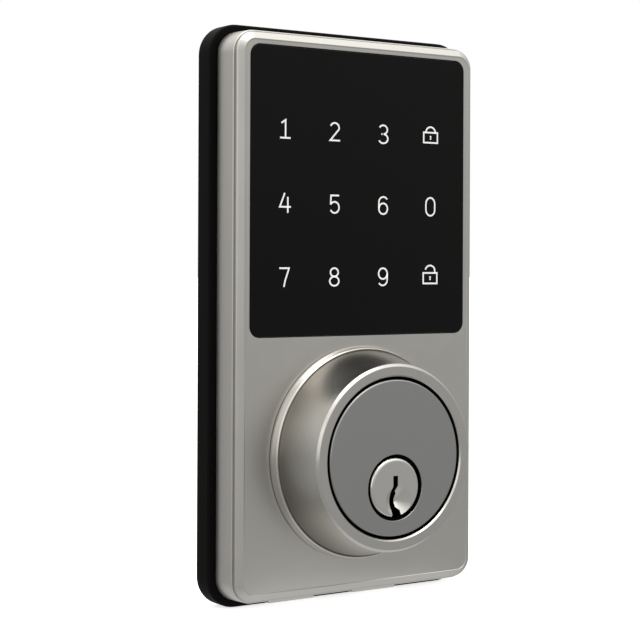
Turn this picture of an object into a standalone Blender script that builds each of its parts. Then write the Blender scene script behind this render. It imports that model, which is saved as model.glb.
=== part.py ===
"""Keypad smart lock, outside unit of a digital deadbolt.

Frame: +Z up, the lock faces -Y, +X is to the right as seen from the front. The door's surface is the
plane y = 0 and the key plug turns about the line x = z = 0. "Out" is a distance in front of the door.
"""

import math

import bmesh
import bpy
from mathutils import Matrix, Vector

MM = 0.001
GAP = 0.3 * MM
OVERCUT = 1.0 * MM
TINY = 1e-6

# Cast front escutcheon
COVER_WIDTH = 64.0 * MM
COVER_HEIGHT = 120.2 * MM
COVER_CORNER = 5.0 * MM
COVER_WALL = 2.0 * MM
COVER_PLATE = 2.5 * MM
COVER_CHAMFER = 1.6 * MM
BODY_CENTRE_Z = 36.0 * MM
FACE_OUT = 14.0 * MM
COVER_RIM_OUT = 6.6 * MM
POCKET_RIM = 0.5 * MM

# Black rear housing and the foam behind it
HOUSING_MARGIN = 1.6 * MM
HOUSING_EXTRA_HEIGHT = 0.2 * MM
HOUSING_WALL = 2.5 * MM
HOUSING_FLOOR = 2.0 * MM
HOUSING_EDGE = 0.4 * MM
GASKET_THICKNESS = 0.9 * MM
GASKET_INSET = 1.2 * MM
GASKET_MARGIN = 0.6 * MM

# Locating lugs along the bottom edge
LUG_WIDTH = 11.7 * MM
LUG_CENTRES_X = (-13.1 * MM, 8.7 * MM)
LUG_DEPTH = 2.0 * MM
LUG_ROOT = 0.2 * MM

# Touch panel and what is behind it
GLASS_WIDTH = 56.2 * MM
GLASS_HEIGHT = 61.2 * MM
GLASS_CORNER = 2.3 * MM
GLASS_THICKNESS = 1.5 * MM
GLASS_TOP_MARGIN = 3.2 * MM
GLASS_EDGE = 0.2 * MM
SEAL_THICKNESS = 0.4 * MM
LEDGE_THICKNESS = 1.4 * MM
LEDGE_WIDTH_SIDE = 3.35 * MM
LEDGE_WIDTH_ENDS = 5.6 * MM
WINDOW_CORNER = 2.0 * MM
GUIDE_THICKNESS = 1.3 * MM
LED_SIZE = (2.4 * MM, 1.6 * MM)
LED_THICKNESS = 0.5 * MM
LED_EDGE = (3.5 * MM, 4.5 * MM)
SMALL_CORNER = 0.2 * MM
BOARD_SIDE_GAP = 0.7 * MM
BOARD_LAP = 1.0 * MM
BOARD_THICKNESS = 1.2 * MM
BOARD_CORNER = 1.0 * MM
CHIP_SIZE = 8.0 * MM
CHIP_THICKNESS = 1.0 * MM
CHIP_PLACE_X = -9.0 * MM
BUZZER_RADIUS = 6.0 * MM
BUZZER_THICKNESS = 2.6 * MM
BUZZER_PLACE = (12.0 * MM, 13.0 * MM)
SOCKET_SIZE = (9.0 * MM, 4.6 * MM)
SOCKET_OPENING = (7.4 * MM, 3.0 * MM)
SOCKET_THICKNESS = 3.4 * MM
SOCKET_DROP = 21.0 * MM
BOARD_SCREW_EDGE = (2.0 * MM, 2.8 * MM)
BOARD_SCREW_RADIUS = 0.8 * MM

# Fixing screws between cover and housing
COVER_SCREW_SIDE_EDGE = 7.3 * MM
COVER_SCREW_LOW_EDGE = 5.6 * MM
COVER_SCREW_HIGH_EDGE = 4.3 * MM
COVER_SCREW_HIGH_SPREAD = 12.0 * MM
COVER_BOSS_RADIUS = 2.9 * MM
COVER_SCREW_RADIUS = 1.2 * MM
COVER_SCREW_LENGTH = 6.4 * MM
COVER_SCREW_HEAD_RADIUS = 2.8 * MM
COVER_SCREW_HEAD = 0.9 * MM
SCREW_POCKET_DEPTH = 1.2 * MM
SCREW_DOME = 0.1 * MM
CROSS_REACH = 1.5 * MM
CROSS_HALF_WIDTH = 0.35 * MM
CROSS_TOP = 0.25 * MM

# Cylinder
PLUG_RADIUS = 6.35 * MM
PLUG_RIM = 0.65 * MM
CYLINDER_RADIUS = 16.6 * MM
CYLINDER_SHOULDER = 0.8 * MM
CYLINDER_CENTRE_Z = 6.25 * MM
CYLINDER_FACE_OUT = 26.8 * MM
CYLINDER_EDGE = 0.4 * MM
CYLINDER_BACK_OUT = -0.7 * MM
EAR_MARGIN = 1.0 * MM
EAR_HEIGHT = 13.0 * MM
EAR_THICKNESS = 2.8 * MM
EAR_CORNER = 5.0 * MM
PLUG_PROUD = 0.1 * MM
PLUG_OVERHANG = 0.2 * MM
PLUG_EDGE = 0.5 * MM
PLUG_ROUNDING = 0.15 * MM
RIM_DEPTH = 1.0 * MM

# Mounting posts that take the two bolts from the inside unit
POST_RADIUS = 4.0 * MM
POST_CLEARANCE = 0.4 * MM
POST_LENGTH = 9.5 * MM
POST_EDGE = 0.5 * MM
STUD_RADIUS = 2.0 * MM
BOLT_HOLE_RADIUS = 2.1 * MM
BOLT_HOLE_DEPTH = 7.5 * MM
STUD_POINT = 0.4 * MM
NUT_ACROSS_CORNERS = 8.1 * MM
NUT_THICKNESS = 2.0 * MM

# Cable entry
GROMMET_CLEARANCE = 0.35 * MM
GROMMET_HOLE_RADIUS = 1.8 * MM
GROMMET_NECK_RADIUS = 2.6 * MM
GROMMET_FLANGE_RADIUS = 3.6 * MM
GROMMET_FLANGE_THICKNESS = 0.7 * MM

# Free-turning guard collar
COLLAR_CLEARANCE = 0.6 * MM
COLLAR_FRONT_WALL = 2.65 * MM
COLLAR_FLARE = 3.35 * MM
COLLAR_FRONT_OUT = 27.0 * MM
SPIGOT_WALL = 2.0 * MM
LIP_THICKNESS = 1.8 * MM
LIP_LAND = 1.2 * MM
LIP_ROUNDING = (0.35 * MM, 0.25 * MM, 0.8 * MM)
NECK_STEPS = 6
NECK_HOLLOW = 1.6
FRONT_BEVEL = 0.6 * MM
FRONT_EDGE = 0.2 * MM
SPIGOT_TAIL = 0.8 * MM
GROOVE_DEPTH = 0.9 * MM
RING_THICKNESS = 0.8 * MM
RING_WIDTH = 2.2 * MM
RING_MOUTH = 16.0 * MM

# Pin stacks
PIN_COUNT = 5
PIN_PITCH = 3.96 * MM
FIRST_PIN_OUT = 20.5 * MM
PIN_RADIUS = 1.35 * MM
KEY_PIN_LENGTHS = (3.4 * MM, 4.6 * MM, 4.0 * MM, 5.2 * MM, 3.7 * MM)
DRIVER_LENGTH = 5.0 * MM
DRIVER_CLEARANCE = 0.1 * MM
PIN_POINT = 0.9 * MM
PIN_TIP_RADIUS = 0.5 * MM
PIN_EDGE = 0.2 * MM
SPRING_TURNS = 5
SPRING_WIRE_RADIUS = 0.18 * MM
SPRING_CLEARANCE = 0.05 * MM
SPRING_SEGMENTS = 7
CHAMBER_FLOOR_Z = 0.0
LID_DEPTH = 0.6 * MM
LID_THICKNESS = 0.9 * MM
LID_WIDTH = 4.4 * MM
LID_MARGIN = 0.8 * MM

# Keyway outline in the plug's face, first down its left side and then up its right side
KEYWAY_LEFT = ((-0.6, 2.5), (-0.6, 0.4), (-1.07, -0.8), (-1.07, -3.6), (-0.8, -4.8), (-0.8, -8.0))
KEYWAY_RIGHT = ((1.55, -8.0), (1.55, -4.9), (0.68, -4.2), (0.68, -1.3), (0.23, -0.8), (0.6, 0.35), (0.6, 2.5))
DIMPLE_PLACE = (0.8 * MM, -2.9 * MM)
DIMPLE_RADIUS = 3.15 * MM
DIMPLE_DEPTH = 1.1 * MM
KEYWAY_END = 3.0 * MM

# Cam and tailpiece behind the plug
CAM_RADIUS = 8.5 * MM
CAM_THICKNESS = 3.2 * MM
CAM_WINDOW_RADIUS = 4.9 * MM
CAM_LID_THICKNESS = 1.0 * MM
CAM_SCREW_REACH = 5.0 * MM
CAM_SCREW_RADIUS = 0.7 * MM
CAM_SCREW_DEPTH = 8.0 * MM
CAM_SCREW_HEAD_RADIUS = 1.4 * MM
SMALL_HEAD = 0.8 * MM
SMALL_HEAD_TAPER = 0.2 * MM
LID_CLEARANCE = 0.4 * MM
TAIL_THICKNESS = 1.8 * MM
TAIL_WIDTH = 6.4 * MM
TAIL_HEAD_WIDTH = 9.2 * MM
TAIL_END_OUT = -45.0 * MM
TAIL_TIP = 4.0 * MM
TAIL_TIP_SHARE = 0.55

# Facets
CORNER_STEPS = 6
LARGE_SIDES = 56
MIDDLE_SIDES = 40
SMALL_SIDES = 12
SCREW_SIDES = 10
BOSS_SIDES = 16
ROUND_SIDES = 20
MINOR_SIDES = 24

# Sizes that follow from those above
WINDOW_WIDTH = GLASS_WIDTH - 2 * LEDGE_WIDTH_SIDE
WINDOW_HEIGHT = GLASS_HEIGHT - 2 * LEDGE_WIDTH_ENDS
BOARD_WIDTH = COVER_WIDTH - 2 * (COVER_WALL + BOARD_SIDE_GAP)
BOARD_HEIGHT = WINDOW_HEIGHT + 2 * BOARD_LAP
BOARD_SCREW_SPREAD = (BOARD_WIDTH / 2 - BOARD_SCREW_EDGE[0], BOARD_HEIGHT / 2 - BOARD_SCREW_EDGE[1])
LED_SPREAD = (WINDOW_WIDTH / 2 - LED_EDGE[0], WINDOW_HEIGHT / 2 - LED_EDGE[1])
HOUSING_WIDTH = COVER_WIDTH + 2 * HOUSING_MARGIN
HOUSING_HEIGHT = COVER_HEIGHT + 2 * HOUSING_MARGIN + HOUSING_EXTRA_HEIGHT
HOUSING_CORNER = COVER_CORNER + HOUSING_MARGIN
HOUSING_RIM_OUT = COVER_RIM_OUT - GAP
HOUSING_BACK_OUT = GASKET_THICKNESS + GAP
FLOOR_OUT = HOUSING_BACK_OUT + HOUSING_FLOOR
COVER_BOTTOM = BODY_CENTRE_Z - COVER_HEIGHT / 2
COVER_TOP = BODY_CENTRE_Z + COVER_HEIGHT / 2
GLASS_CENTRE_Z = COVER_TOP - GLASS_TOP_MARGIN - GLASS_HEIGHT / 2
COVER_SCREW_LOW = (COVER_WIDTH / 2 - COVER_SCREW_SIDE_EDGE, COVER_BOTTOM + COVER_SCREW_LOW_EDGE)
COVER_SCREW_HIGH = (COVER_SCREW_HIGH_SPREAD, COVER_TOP - COVER_SCREW_HIGH_EDGE)
COVER_SCREW_PLACES = [(side * x, z) for x, z in (COVER_SCREW_LOW, COVER_SCREW_HIGH) for side in (-1, 1)]
HOUSING_BOTTOM = BODY_CENTRE_Z - HOUSING_HEIGHT / 2
GLASS_BACK_OUT = FACE_OUT - GLASS_THICKNESS
SEAL_OUT = GLASS_BACK_OUT - GAP - SEAL_THICKNESS
LEDGE_FRONT_OUT = SEAL_OUT - GAP
LEDGE_BACK_OUT = LEDGE_FRONT_OUT - LEDGE_THICKNESS
PLATE_BACK_OUT = FACE_OUT - COVER_PLATE
BOARD_FRONT_OUT = LEDGE_BACK_OUT - GAP
BOARD_BACK_OUT = BOARD_FRONT_OUT - BOARD_THICKNESS
BOSS_END_OUT = FLOOR_OUT + GAP
POST_SPREAD = CYLINDER_RADIUS + POST_RADIUS + POST_CLEARANCE
EAR_WIDTH = 2 * (POST_SPREAD + POST_RADIUS + EAR_MARGIN)
GASKET_OPENING_RADIUS = POST_SPREAD + POST_RADIUS + GASKET_MARGIN
SHOULDER_RADIUS = CYLINDER_RADIUS + CYLINDER_SHOULDER
GROMMET_CENTRE_Z = CYLINDER_CENTRE_Z + SHOULDER_RADIUS + GROMMET_FLANGE_RADIUS + GROMMET_CLEARANCE
COLLAR_SEAT_OUT = FACE_OUT + GAP
COLLAR_BORE_RADIUS = CYLINDER_RADIUS + COLLAR_CLEARANCE
COLLAR_FRONT_RADIUS = COLLAR_BORE_RADIUS + COLLAR_FRONT_WALL
COLLAR_LIP_RADIUS = COLLAR_FRONT_RADIUS + COLLAR_FLARE
SPIGOT_RADIUS = COLLAR_BORE_RADIUS + SPIGOT_WALL
RING_RADIUS = SPIGOT_RADIUS + RING_WIDTH
RING_OUT = PLATE_BACK_OUT - GAP - RING_THICKNESS
SPIGOT_END_OUT = RING_OUT - GAP - SPIGOT_TAIL
EAR_OUT = FLOOR_OUT + GAP
NUT_OUT = EAR_OUT + EAR_THICKNESS + GAP
PLUG_FACE_OUT = CYLINDER_FACE_OUT + PLUG_PROUD
PLUG_BACK_OUT = CYLINDER_BACK_OUT - PLUG_OVERHANG
BORE_RADIUS = PLUG_RADIUS + GAP
CHAMBER_RADIUS = PIN_RADIUS + GAP
DRIVER_BOTTOM = BORE_RADIUS + DRIVER_CLEARANCE
SPRING_BOTTOM = DRIVER_BOTTOM + DRIVER_LENGTH + GAP
LID_BOTTOM = CYLINDER_CENTRE_Z + CYLINDER_RADIUS - LID_DEPTH - LID_THICKNESS
SPRING_LENGTH = LID_BOTTOM - GAP - SPRING_BOTTOM
CAM_OUT = PLUG_BACK_OUT - GAP
CAM_BACK_OUT = CAM_OUT - CAM_THICKNESS
CAM_LID_OUT = CAM_BACK_OUT - GAP
CAM_LID_BACK_OUT = CAM_LID_OUT - CAM_LID_THICKNESS


def fresh_collection(name):
    collection = bpy.data.collections.new(name)
    bpy.context.scene.collection.children.link(collection)
    return collection


def finish(name, colour, roughness, metallic=0.0, transmission=0.0):
    material = bpy.data.materials.new(name)
    material.use_nodes = True
    shader = material.node_tree.nodes["Principled BSDF"]
    shader.inputs["Base Color"].default_value = (*colour, 1.0)
    shader.inputs["Roughness"].default_value = roughness
    shader.inputs["Metallic"].default_value = metallic
    shader.inputs["Transmission Weight"].default_value = transmission
    return material


def place_object(name, mesh, material, place=(0, 0, 0)):
    """Links a finished piece, or a cutter where it is given no material."""
    obj = bpy.data.objects.new(name, mesh)
    obj.location = place
    if material is None:
        CUTTERS.objects.link(obj)
        obj.hide_render = True
        obj.display_type = "WIRE"
    else:
        PARTS.objects.link(obj)
        mesh.materials.append(material)
    return obj


def mesh_from(bm, name, smooth=False):
    mesh = bpy.data.meshes.new(name)
    bm.to_mesh(mesh)
    bm.free()
    if smooth:
        mesh.shade_smooth()
        mesh.set_sharp_from_angle(angle=math.radians(35))
    return mesh


def block(name, low, high, material=None):
    """A box between two corners, given as (x, out, z)."""
    bm = bmesh.new()
    bmesh.ops.create_cube(bm, size=1.0)
    size = Vector((high[0] - low[0], high[1] - low[1], high[2] - low[2]))
    middle = Vector(((low[0] + high[0]) / 2, -(low[1] + high[1]) / 2, (low[2] + high[2]) / 2))
    bmesh.ops.scale(bm, vec=size, verts=bm.verts)
    bmesh.ops.translate(bm, vec=middle, verts=bm.verts)
    return place_object(name, mesh_from(bm, name), material)


def plate(name, width, height, corner, near, far, centre, material=None, front=0.0, back=0.0):
    """A flat piece with rounded corners, from near to far out of the door, centred on (x, z).

    front and back are the chamfers round its two faces.
    """
    bm = bmesh.new()
    bmesh.ops.create_cube(bm, size=1.0)
    bmesh.ops.scale(bm, vec=(width, far - near, height), verts=bm.verts)
    middle = Vector((centre[0], -(near + far) / 2, centre[1]))
    bmesh.ops.translate(bm, vec=middle, verts=bm.verts)
    upright = [e for e in bm.edges if abs((e.verts[0].co - e.verts[1].co).y) > (far - near) / 2]
    bmesh.ops.bevel(bm, geom=upright, offset=corner, segments=CORNER_STEPS, profile=0.5, affect="EDGES")
    for chamfer, level in ((front, -far), (back, -near)):
        if chamfer:
            rim = [e for e in bm.edges if all(abs(v.co.y - level) < TINY for v in e.verts)]
            bmesh.ops.bevel(bm, geom=rim, offset=chamfer, segments=1, profile=0.5, affect="EDGES")
    return place_object(name, mesh_from(bm, name), material)


def rod(name, radius, near, far, centre, material=None, sides=SMALL_SIDES):
    """A round bar along the lock's depth, with its origin on its own axis."""
    bm = bmesh.new()
    bmesh.ops.create_cone(
        bm, cap_ends=True, segments=sides, radius1=radius, radius2=radius, depth=far - near
    )
    bmesh.ops.rotate(bm, cent=(0, 0, 0), matrix=Matrix.Rotation(math.radians(90), 3, "X"), verts=bm.verts)
    bmesh.ops.translate(bm, vec=(0, -(near + far) / 2, 0), verts=bm.verts)
    return place_object(name, mesh_from(bm, name, True), material, (centre[0], 0, centre[1]))


def drill(name, radius, low, high, out, sides=SMALL_SIDES):
    """A cutter for an upright hole on the plug's centre plane."""
    bm = bmesh.new()
    bmesh.ops.create_cone(
        bm, cap_ends=True, segments=sides, radius1=radius, radius2=radius, depth=high - low
    )
    bmesh.ops.translate(bm, vec=(0, -out, (low + high) / 2), verts=bm.verts)
    return place_object(name, mesh_from(bm, name), None)


def turned(name, outline, material, sides, place=(0, 0, 0), upright=False, bored=False):
    """A lathe shape from (radius, height) points, down its outer side; a bored one closes up its inside.

    The height runs out of the door, or up for an upright piece.
    """
    mesh = bpy.data.meshes.new(name)
    points = [(radius, 0, height) for radius, height in outline]
    edges = [(i, i + 1) for i in range(len(points) - 1)]
    if bored:
        edges.append((len(points) - 1, 0))
    mesh.from_pydata(points, edges, [])
    obj = place_object(name, mesh, material, place)
    if not upright:
        obj.rotation_euler.x = math.radians(90)
    screw = obj.modifiers.new("Turning", "SCREW")
    screw.steps = sides
    screw.render_steps = sides
    screw.use_merge_vertices = True
    screw.merge_threshold = TINY
    screw.use_smooth_shade = False
    return obj


def extruded(name, outline, near, far, material=None):
    """A flat outline of (x, z) points, given depth from near to far out of the door."""
    curve = bpy.data.curves.new(name, "CURVE")
    curve.dimensions = "2D"
    curve.fill_mode = "BOTH"
    curve.extrude = (far - near) / 2
    spline = curve.splines.new("POLY")
    spline.points.add(len(outline) - 1)
    for point, (x, z) in zip(spline.points, outline):
        point.co = (x, z, 0, 1)
    spline.use_cyclic_u = True
    guide = bpy.data.objects.new(name + "_outline", curve)
    guide.rotation_euler.x = math.radians(90)
    guide.location.y = -(near + far) / 2
    bpy.context.scene.collection.objects.link(guide)
    bpy.context.view_layer.update()
    graph = bpy.context.evaluated_depsgraph_get()
    mesh = bpy.data.meshes.new_from_object(guide.evaluated_get(graph))
    mesh.name = name
    mesh.transform(guide.matrix_world)
    bpy.data.objects.remove(guide)
    bm = bmesh.new()
    bm.from_mesh(mesh)
    bmesh.ops.remove_doubles(bm, verts=bm.verts, dist=TINY / 10)
    bmesh.ops.recalc_face_normals(bm, faces=bm.faces)
    bm.to_mesh(mesh)
    bm.free()
    mesh.materials.clear()
    return place_object(name, mesh, material)


def boolean(obj, tool, operation):
    modifier = obj.modifiers.new(tool.name, "BOOLEAN")
    modifier.operation = operation
    modifier.object = tool
    modifier.solver = "EXACT"


def cut(obj, *tools):
    for tool in tools:
        boolean(obj, tool, "DIFFERENCE")


def join(obj, *tools):
    for tool in tools:
        boolean(obj, tool, "UNION")


def pin_out(index):
    return FIRST_PIN_OUT - index * PIN_PITCH


def both_sides(spread_x, spread_z, centre_z):
    return [(x, centre_z + z) for z in (-spread_z, spread_z) for x in (-spread_x, spread_x)]


# ---- Escutcheon, housing and gasket


def front_escutcheon(metal):
    centre = (0, BODY_CENTRE_Z)
    glass_centre = (0, GLASS_CENTRE_Z)
    inner_width = COVER_WIDTH - 2 * COVER_WALL
    inner_height = COVER_HEIGHT - 2 * COVER_WALL
    inner_corner = COVER_CORNER - COVER_WALL
    inner_bottom = COVER_BOTTOM + COVER_WALL
    pocket_bottom = GLASS_CENTRE_Z - GLASS_HEIGHT / 2 - GAP
    lower_height = pocket_bottom - POCKET_RIM - inner_bottom
    lower_centre = (0, inner_bottom + lower_height / 2)
    cover = plate("front_escutcheon", COVER_WIDTH, COVER_HEIGHT, COVER_CORNER, COVER_RIM_OUT, FACE_OUT,
                  centre, metal, front=COVER_CHAMFER)
    cut(cover, plate("cut_cover_inside", inner_width, inner_height, inner_corner, 0, LEDGE_BACK_OUT, centre))
    cut(cover, plate("cut_cover_lower", inner_width, lower_height, inner_corner, LEDGE_BACK_OUT - OVERCUT,
                     PLATE_BACK_OUT, lower_centre))
    cut(cover, plate("cut_glass_pocket", GLASS_WIDTH + 2 * GAP, GLASS_HEIGHT + 2 * GAP, GLASS_CORNER + GAP,
                     LEDGE_FRONT_OUT, FACE_OUT + OVERCUT, glass_centre))
    cut(cover, plate("cut_window", WINDOW_WIDTH, WINDOW_HEIGHT, WINDOW_CORNER, LEDGE_BACK_OUT - OVERCUT,
                     LEDGE_FRONT_OUT + OVERCUT, glass_centre))
    cut(cover, rod("cut_collar_hole", SPIGOT_RADIUS + GAP, LEDGE_BACK_OUT, FACE_OUT + OVERCUT,
                   (0, CYLINDER_CENTRE_Z), sides=LARGE_SIDES))
    for index, (x, z) in enumerate(COVER_SCREW_PLACES):
        foot = PLATE_BACK_OUT if z < pocket_bottom else LEDGE_BACK_OUT
        join(cover, rod(f"boss_{index}", COVER_BOSS_RADIUS, BOSS_END_OUT, foot + OVERCUT / 2, (x, z),
                        sides=BOSS_SIDES))
        cut(cover, rod(f"cut_boss_{index}", COVER_SCREW_RADIUS + GAP, 0, LEDGE_BACK_OUT - OVERCUT, (x, z)))
    for index, x in enumerate(LUG_CENTRES_X):
        low = (x - LUG_WIDTH / 2, COVER_RIM_OUT - LUG_DEPTH, HOUSING_BOTTOM)
        high = (x + LUG_WIDTH / 2, COVER_RIM_OUT + GAP, inner_bottom - LUG_ROOT)
        join(cover, block(f"lug_{index}", low, high))
    for index, place in enumerate(both_sides(*BOARD_SCREW_SPREAD, GLASS_CENTRE_Z)):
        cut(cover, rod(f"cut_board_screw_{index}", BOARD_SCREW_RADIUS + GAP, 0, LEDGE_FRONT_OUT - GAP, place))
    return cover


def rear_housing(plastic):
    centre = (0, BODY_CENTRE_Z)
    housing = plate("rear_housing", HOUSING_WIDTH, HOUSING_HEIGHT, HOUSING_CORNER, HOUSING_BACK_OUT,
                    HOUSING_RIM_OUT, centre, plastic, front=HOUSING_EDGE, back=HOUSING_EDGE)
    cut(housing, plate("cut_housing_inside", HOUSING_WIDTH - 2 * HOUSING_WALL,
                       HOUSING_HEIGHT - 2 * HOUSING_WALL, HOUSING_CORNER - HOUSING_WALL, FLOOR_OUT,
                       FACE_OUT, centre))
    cut(housing, rod("cut_housing_cylinder", CYLINDER_RADIUS + GAP, -OVERCUT, FACE_OUT,
                     (0, CYLINDER_CENTRE_Z), sides=LARGE_SIDES))
    cut(housing, rod("cut_housing_grommet", GROMMET_NECK_RADIUS + GAP, -OVERCUT, FACE_OUT,
                     (0, GROMMET_CENTRE_Z), sides=ROUND_SIDES))
    for index, side in enumerate((-1, 1)):
        cut(housing, rod(f"cut_housing_stud_{index}", STUD_RADIUS + GAP, -OVERCUT, FACE_OUT,
                         (side * POST_SPREAD, CYLINDER_CENTRE_Z)))
    for index, place in enumerate(COVER_SCREW_PLACES):
        cut(housing, rod(f"cut_screw_{index}", COVER_SCREW_RADIUS + 2 * GAP, -OVERCUT, FACE_OUT, place))
        cut(housing, rod(f"cut_screw_head_{index}", COVER_SCREW_HEAD_RADIUS + GAP, -OVERCUT,
                         HOUSING_BACK_OUT + SCREW_POCKET_DEPTH, place, sides=BOSS_SIDES))
    reach = LUG_WIDTH / 2 + GAP
    for index, x in enumerate(LUG_CENTRES_X):
        low = (x - reach, COVER_RIM_OUT - LUG_DEPTH - GAP, HOUSING_BOTTOM - OVERCUT)
        cut(housing, block(f"cut_lug_{index}", low, (x + reach, FACE_OUT, COVER_BOTTOM + HOUSING_WALL)))
    return housing


def door_gasket(foam):
    gasket = plate("door_gasket", HOUSING_WIDTH - 2 * GASKET_INSET, HOUSING_HEIGHT - 2 * GASKET_INSET,
                   HOUSING_CORNER - GASKET_INSET, 0, GASKET_THICKNESS, (0, BODY_CENTRE_Z), foam)
    cut(gasket, rod("cut_gasket_opening", GASKET_OPENING_RADIUS, -OVERCUT, 2 * GASKET_THICKNESS,
                    (0, CYLINDER_CENTRE_Z), sides=LARGE_SIDES))
    for index, place in enumerate(COVER_SCREW_PLACES):
        cut(gasket, rod(f"cut_gasket_screw_{index}", COVER_SCREW_HEAD_RADIUS + GAP, -OVERCUT,
                        2 * GASKET_THICKNESS, place, sides=BOSS_SIDES))
    return gasket


def cover_screws(steel):
    head_out = HOUSING_BACK_OUT + COVER_SCREW_HEAD
    tip = head_out + COVER_SCREW_LENGTH
    point = COVER_SCREW_RADIUS / 2
    dome_out = HOUSING_BACK_OUT + GAP
    recess_out = head_out - CROSS_TOP
    for index, (x, z) in enumerate(COVER_SCREW_PLACES):
        outline = [(0, tip), (point, tip), (COVER_SCREW_RADIUS, tip - 2 * point),
                   (COVER_SCREW_RADIUS, head_out), (COVER_SCREW_HEAD_RADIUS, head_out),
                   (COVER_SCREW_HEAD_RADIUS - GAP, dome_out), (0, dome_out - SCREW_DOME)]
        screw = turned(f"cover_screw_{index + 1}", outline, steel, SMALL_SIDES, (x, 0, z))
        arms = ((CROSS_REACH, CROSS_HALF_WIDTH), (CROSS_HALF_WIDTH, CROSS_REACH))
        for turn, (arm_x, arm_z) in enumerate(arms):
            cut(screw, block(f"cut_cross_{index}_{turn}", (x - arm_x, 0, z - arm_z),
                             (x + arm_x, recess_out, z + arm_z)))


# ---- Touch panel and electronics


def touch_panel(glass, rubber, clear):
    centre = (0, GLASS_CENTRE_Z)
    plate("touch_panel_glass", GLASS_WIDTH, GLASS_HEIGHT, GLASS_CORNER, GLASS_BACK_OUT, FACE_OUT, centre,
          glass, front=GLASS_EDGE)
    seal = plate("panel_seal", GLASS_WIDTH, GLASS_HEIGHT, GLASS_CORNER, SEAL_OUT, SEAL_OUT + SEAL_THICKNESS,
                 centre, rubber)
    cut(seal, plate("cut_seal", WINDOW_WIDTH + WINDOW_CORNER, WINDOW_HEIGHT + WINDOW_CORNER, WINDOW_CORNER,
                    SEAL_OUT - OVERCUT, FACE_OUT, centre))
    guide_front = GLASS_BACK_OUT - GAP
    plate("light_guide", WINDOW_WIDTH - 2 * GAP, WINDOW_HEIGHT - 2 * GAP, WINDOW_CORNER - GAP,
          guide_front - GUIDE_THICKNESS, guide_front, centre, clear)


def keypad_circuit_board(laminate):
    board = plate("keypad_circuit_board", BOARD_WIDTH, BOARD_HEIGHT, BOARD_CORNER, BOARD_BACK_OUT,
                  BOARD_FRONT_OUT, (0, GLASS_CENTRE_Z), laminate)
    for index, place in enumerate(both_sides(*BOARD_SCREW_SPREAD, GLASS_CENTRE_Z)):
        cut(board, rod(f"cut_board_{index}", BOARD_SCREW_RADIUS + GAP, 0, FACE_OUT, place))
    return board


def small_screw(name, tip, back, radius, head_radius, steel, place):
    """A pan-head screw for the board or the cam, whose head stands behind the surface at back."""
    outline = [(0, tip), (radius, tip - GAP), (radius, back), (head_radius, back),
               (head_radius - SMALL_HEAD_TAPER, back - SMALL_HEAD + SCREW_DOME), (0, back - SMALL_HEAD)]
    turned(name, outline, steel, SCREW_SIDES, (place[0], 0, place[1]))


def board_parts(ceramic, epoxy, brass, nylon, steel):
    led_out = BOARD_FRONT_OUT + GAP
    for index, place in enumerate(both_sides(*LED_SPREAD, GLASS_CENTRE_Z)):
        plate(f"backlight_led_{index + 1}", *LED_SIZE, SMALL_CORNER, led_out, led_out + LED_THICKNESS, place,
              ceramic)
    back = BOARD_BACK_OUT - GAP
    plate("control_chip", CHIP_SIZE, CHIP_SIZE, SMALL_CORNER, back - CHIP_THICKNESS, back,
          (CHIP_PLACE_X, GLASS_CENTRE_Z), epoxy)
    rod("buzzer", BUZZER_RADIUS, back - BUZZER_THICKNESS, back,
        (BUZZER_PLACE[0], GLASS_CENTRE_Z + BUZZER_PLACE[1]), brass, sides=MINOR_SIDES)
    socket_place = (0, GLASS_CENTRE_Z - SOCKET_DROP)
    socket = plate("cable_connector", *SOCKET_SIZE, SMALL_CORNER, back - SOCKET_THICKNESS, back, socket_place,
                   nylon)
    cut(socket, plate("cut_connector", *SOCKET_OPENING, SMALL_CORNER, 0, back - OVERCUT, socket_place))
    for index, place in enumerate(both_sides(*BOARD_SCREW_SPREAD, GLASS_CENTRE_Z)):
        small_screw(f"board_screw_{index + 1}", LEDGE_FRONT_OUT - 2 * GAP, back, BOARD_SCREW_RADIUS,
                    2 * BOARD_SCREW_RADIUS, steel, place)


def cable_grommet(rubber):
    front = FLOOR_OUT + GAP
    rear = HOUSING_BACK_OUT - GAP
    outline = [(GROMMET_HOLE_RADIUS, front + GROMMET_FLANGE_THICKNESS),
               (GROMMET_FLANGE_RADIUS - GAP, front + GROMMET_FLANGE_THICKNESS),
               (GROMMET_FLANGE_RADIUS, front), (GROMMET_NECK_RADIUS, front), (GROMMET_NECK_RADIUS, rear),
               (GROMMET_FLANGE_RADIUS, rear),
               (GROMMET_FLANGE_RADIUS - GAP, rear - GROMMET_FLANGE_THICKNESS),
               (GROMMET_HOLE_RADIUS, rear - GROMMET_FLANGE_THICKNESS)]
    return turned("cable_grommet", outline, rubber, ROUND_SIDES, (0, 0, GROMMET_CENTRE_Z), bored=True)


# ---- Collar and its snap ring


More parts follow.
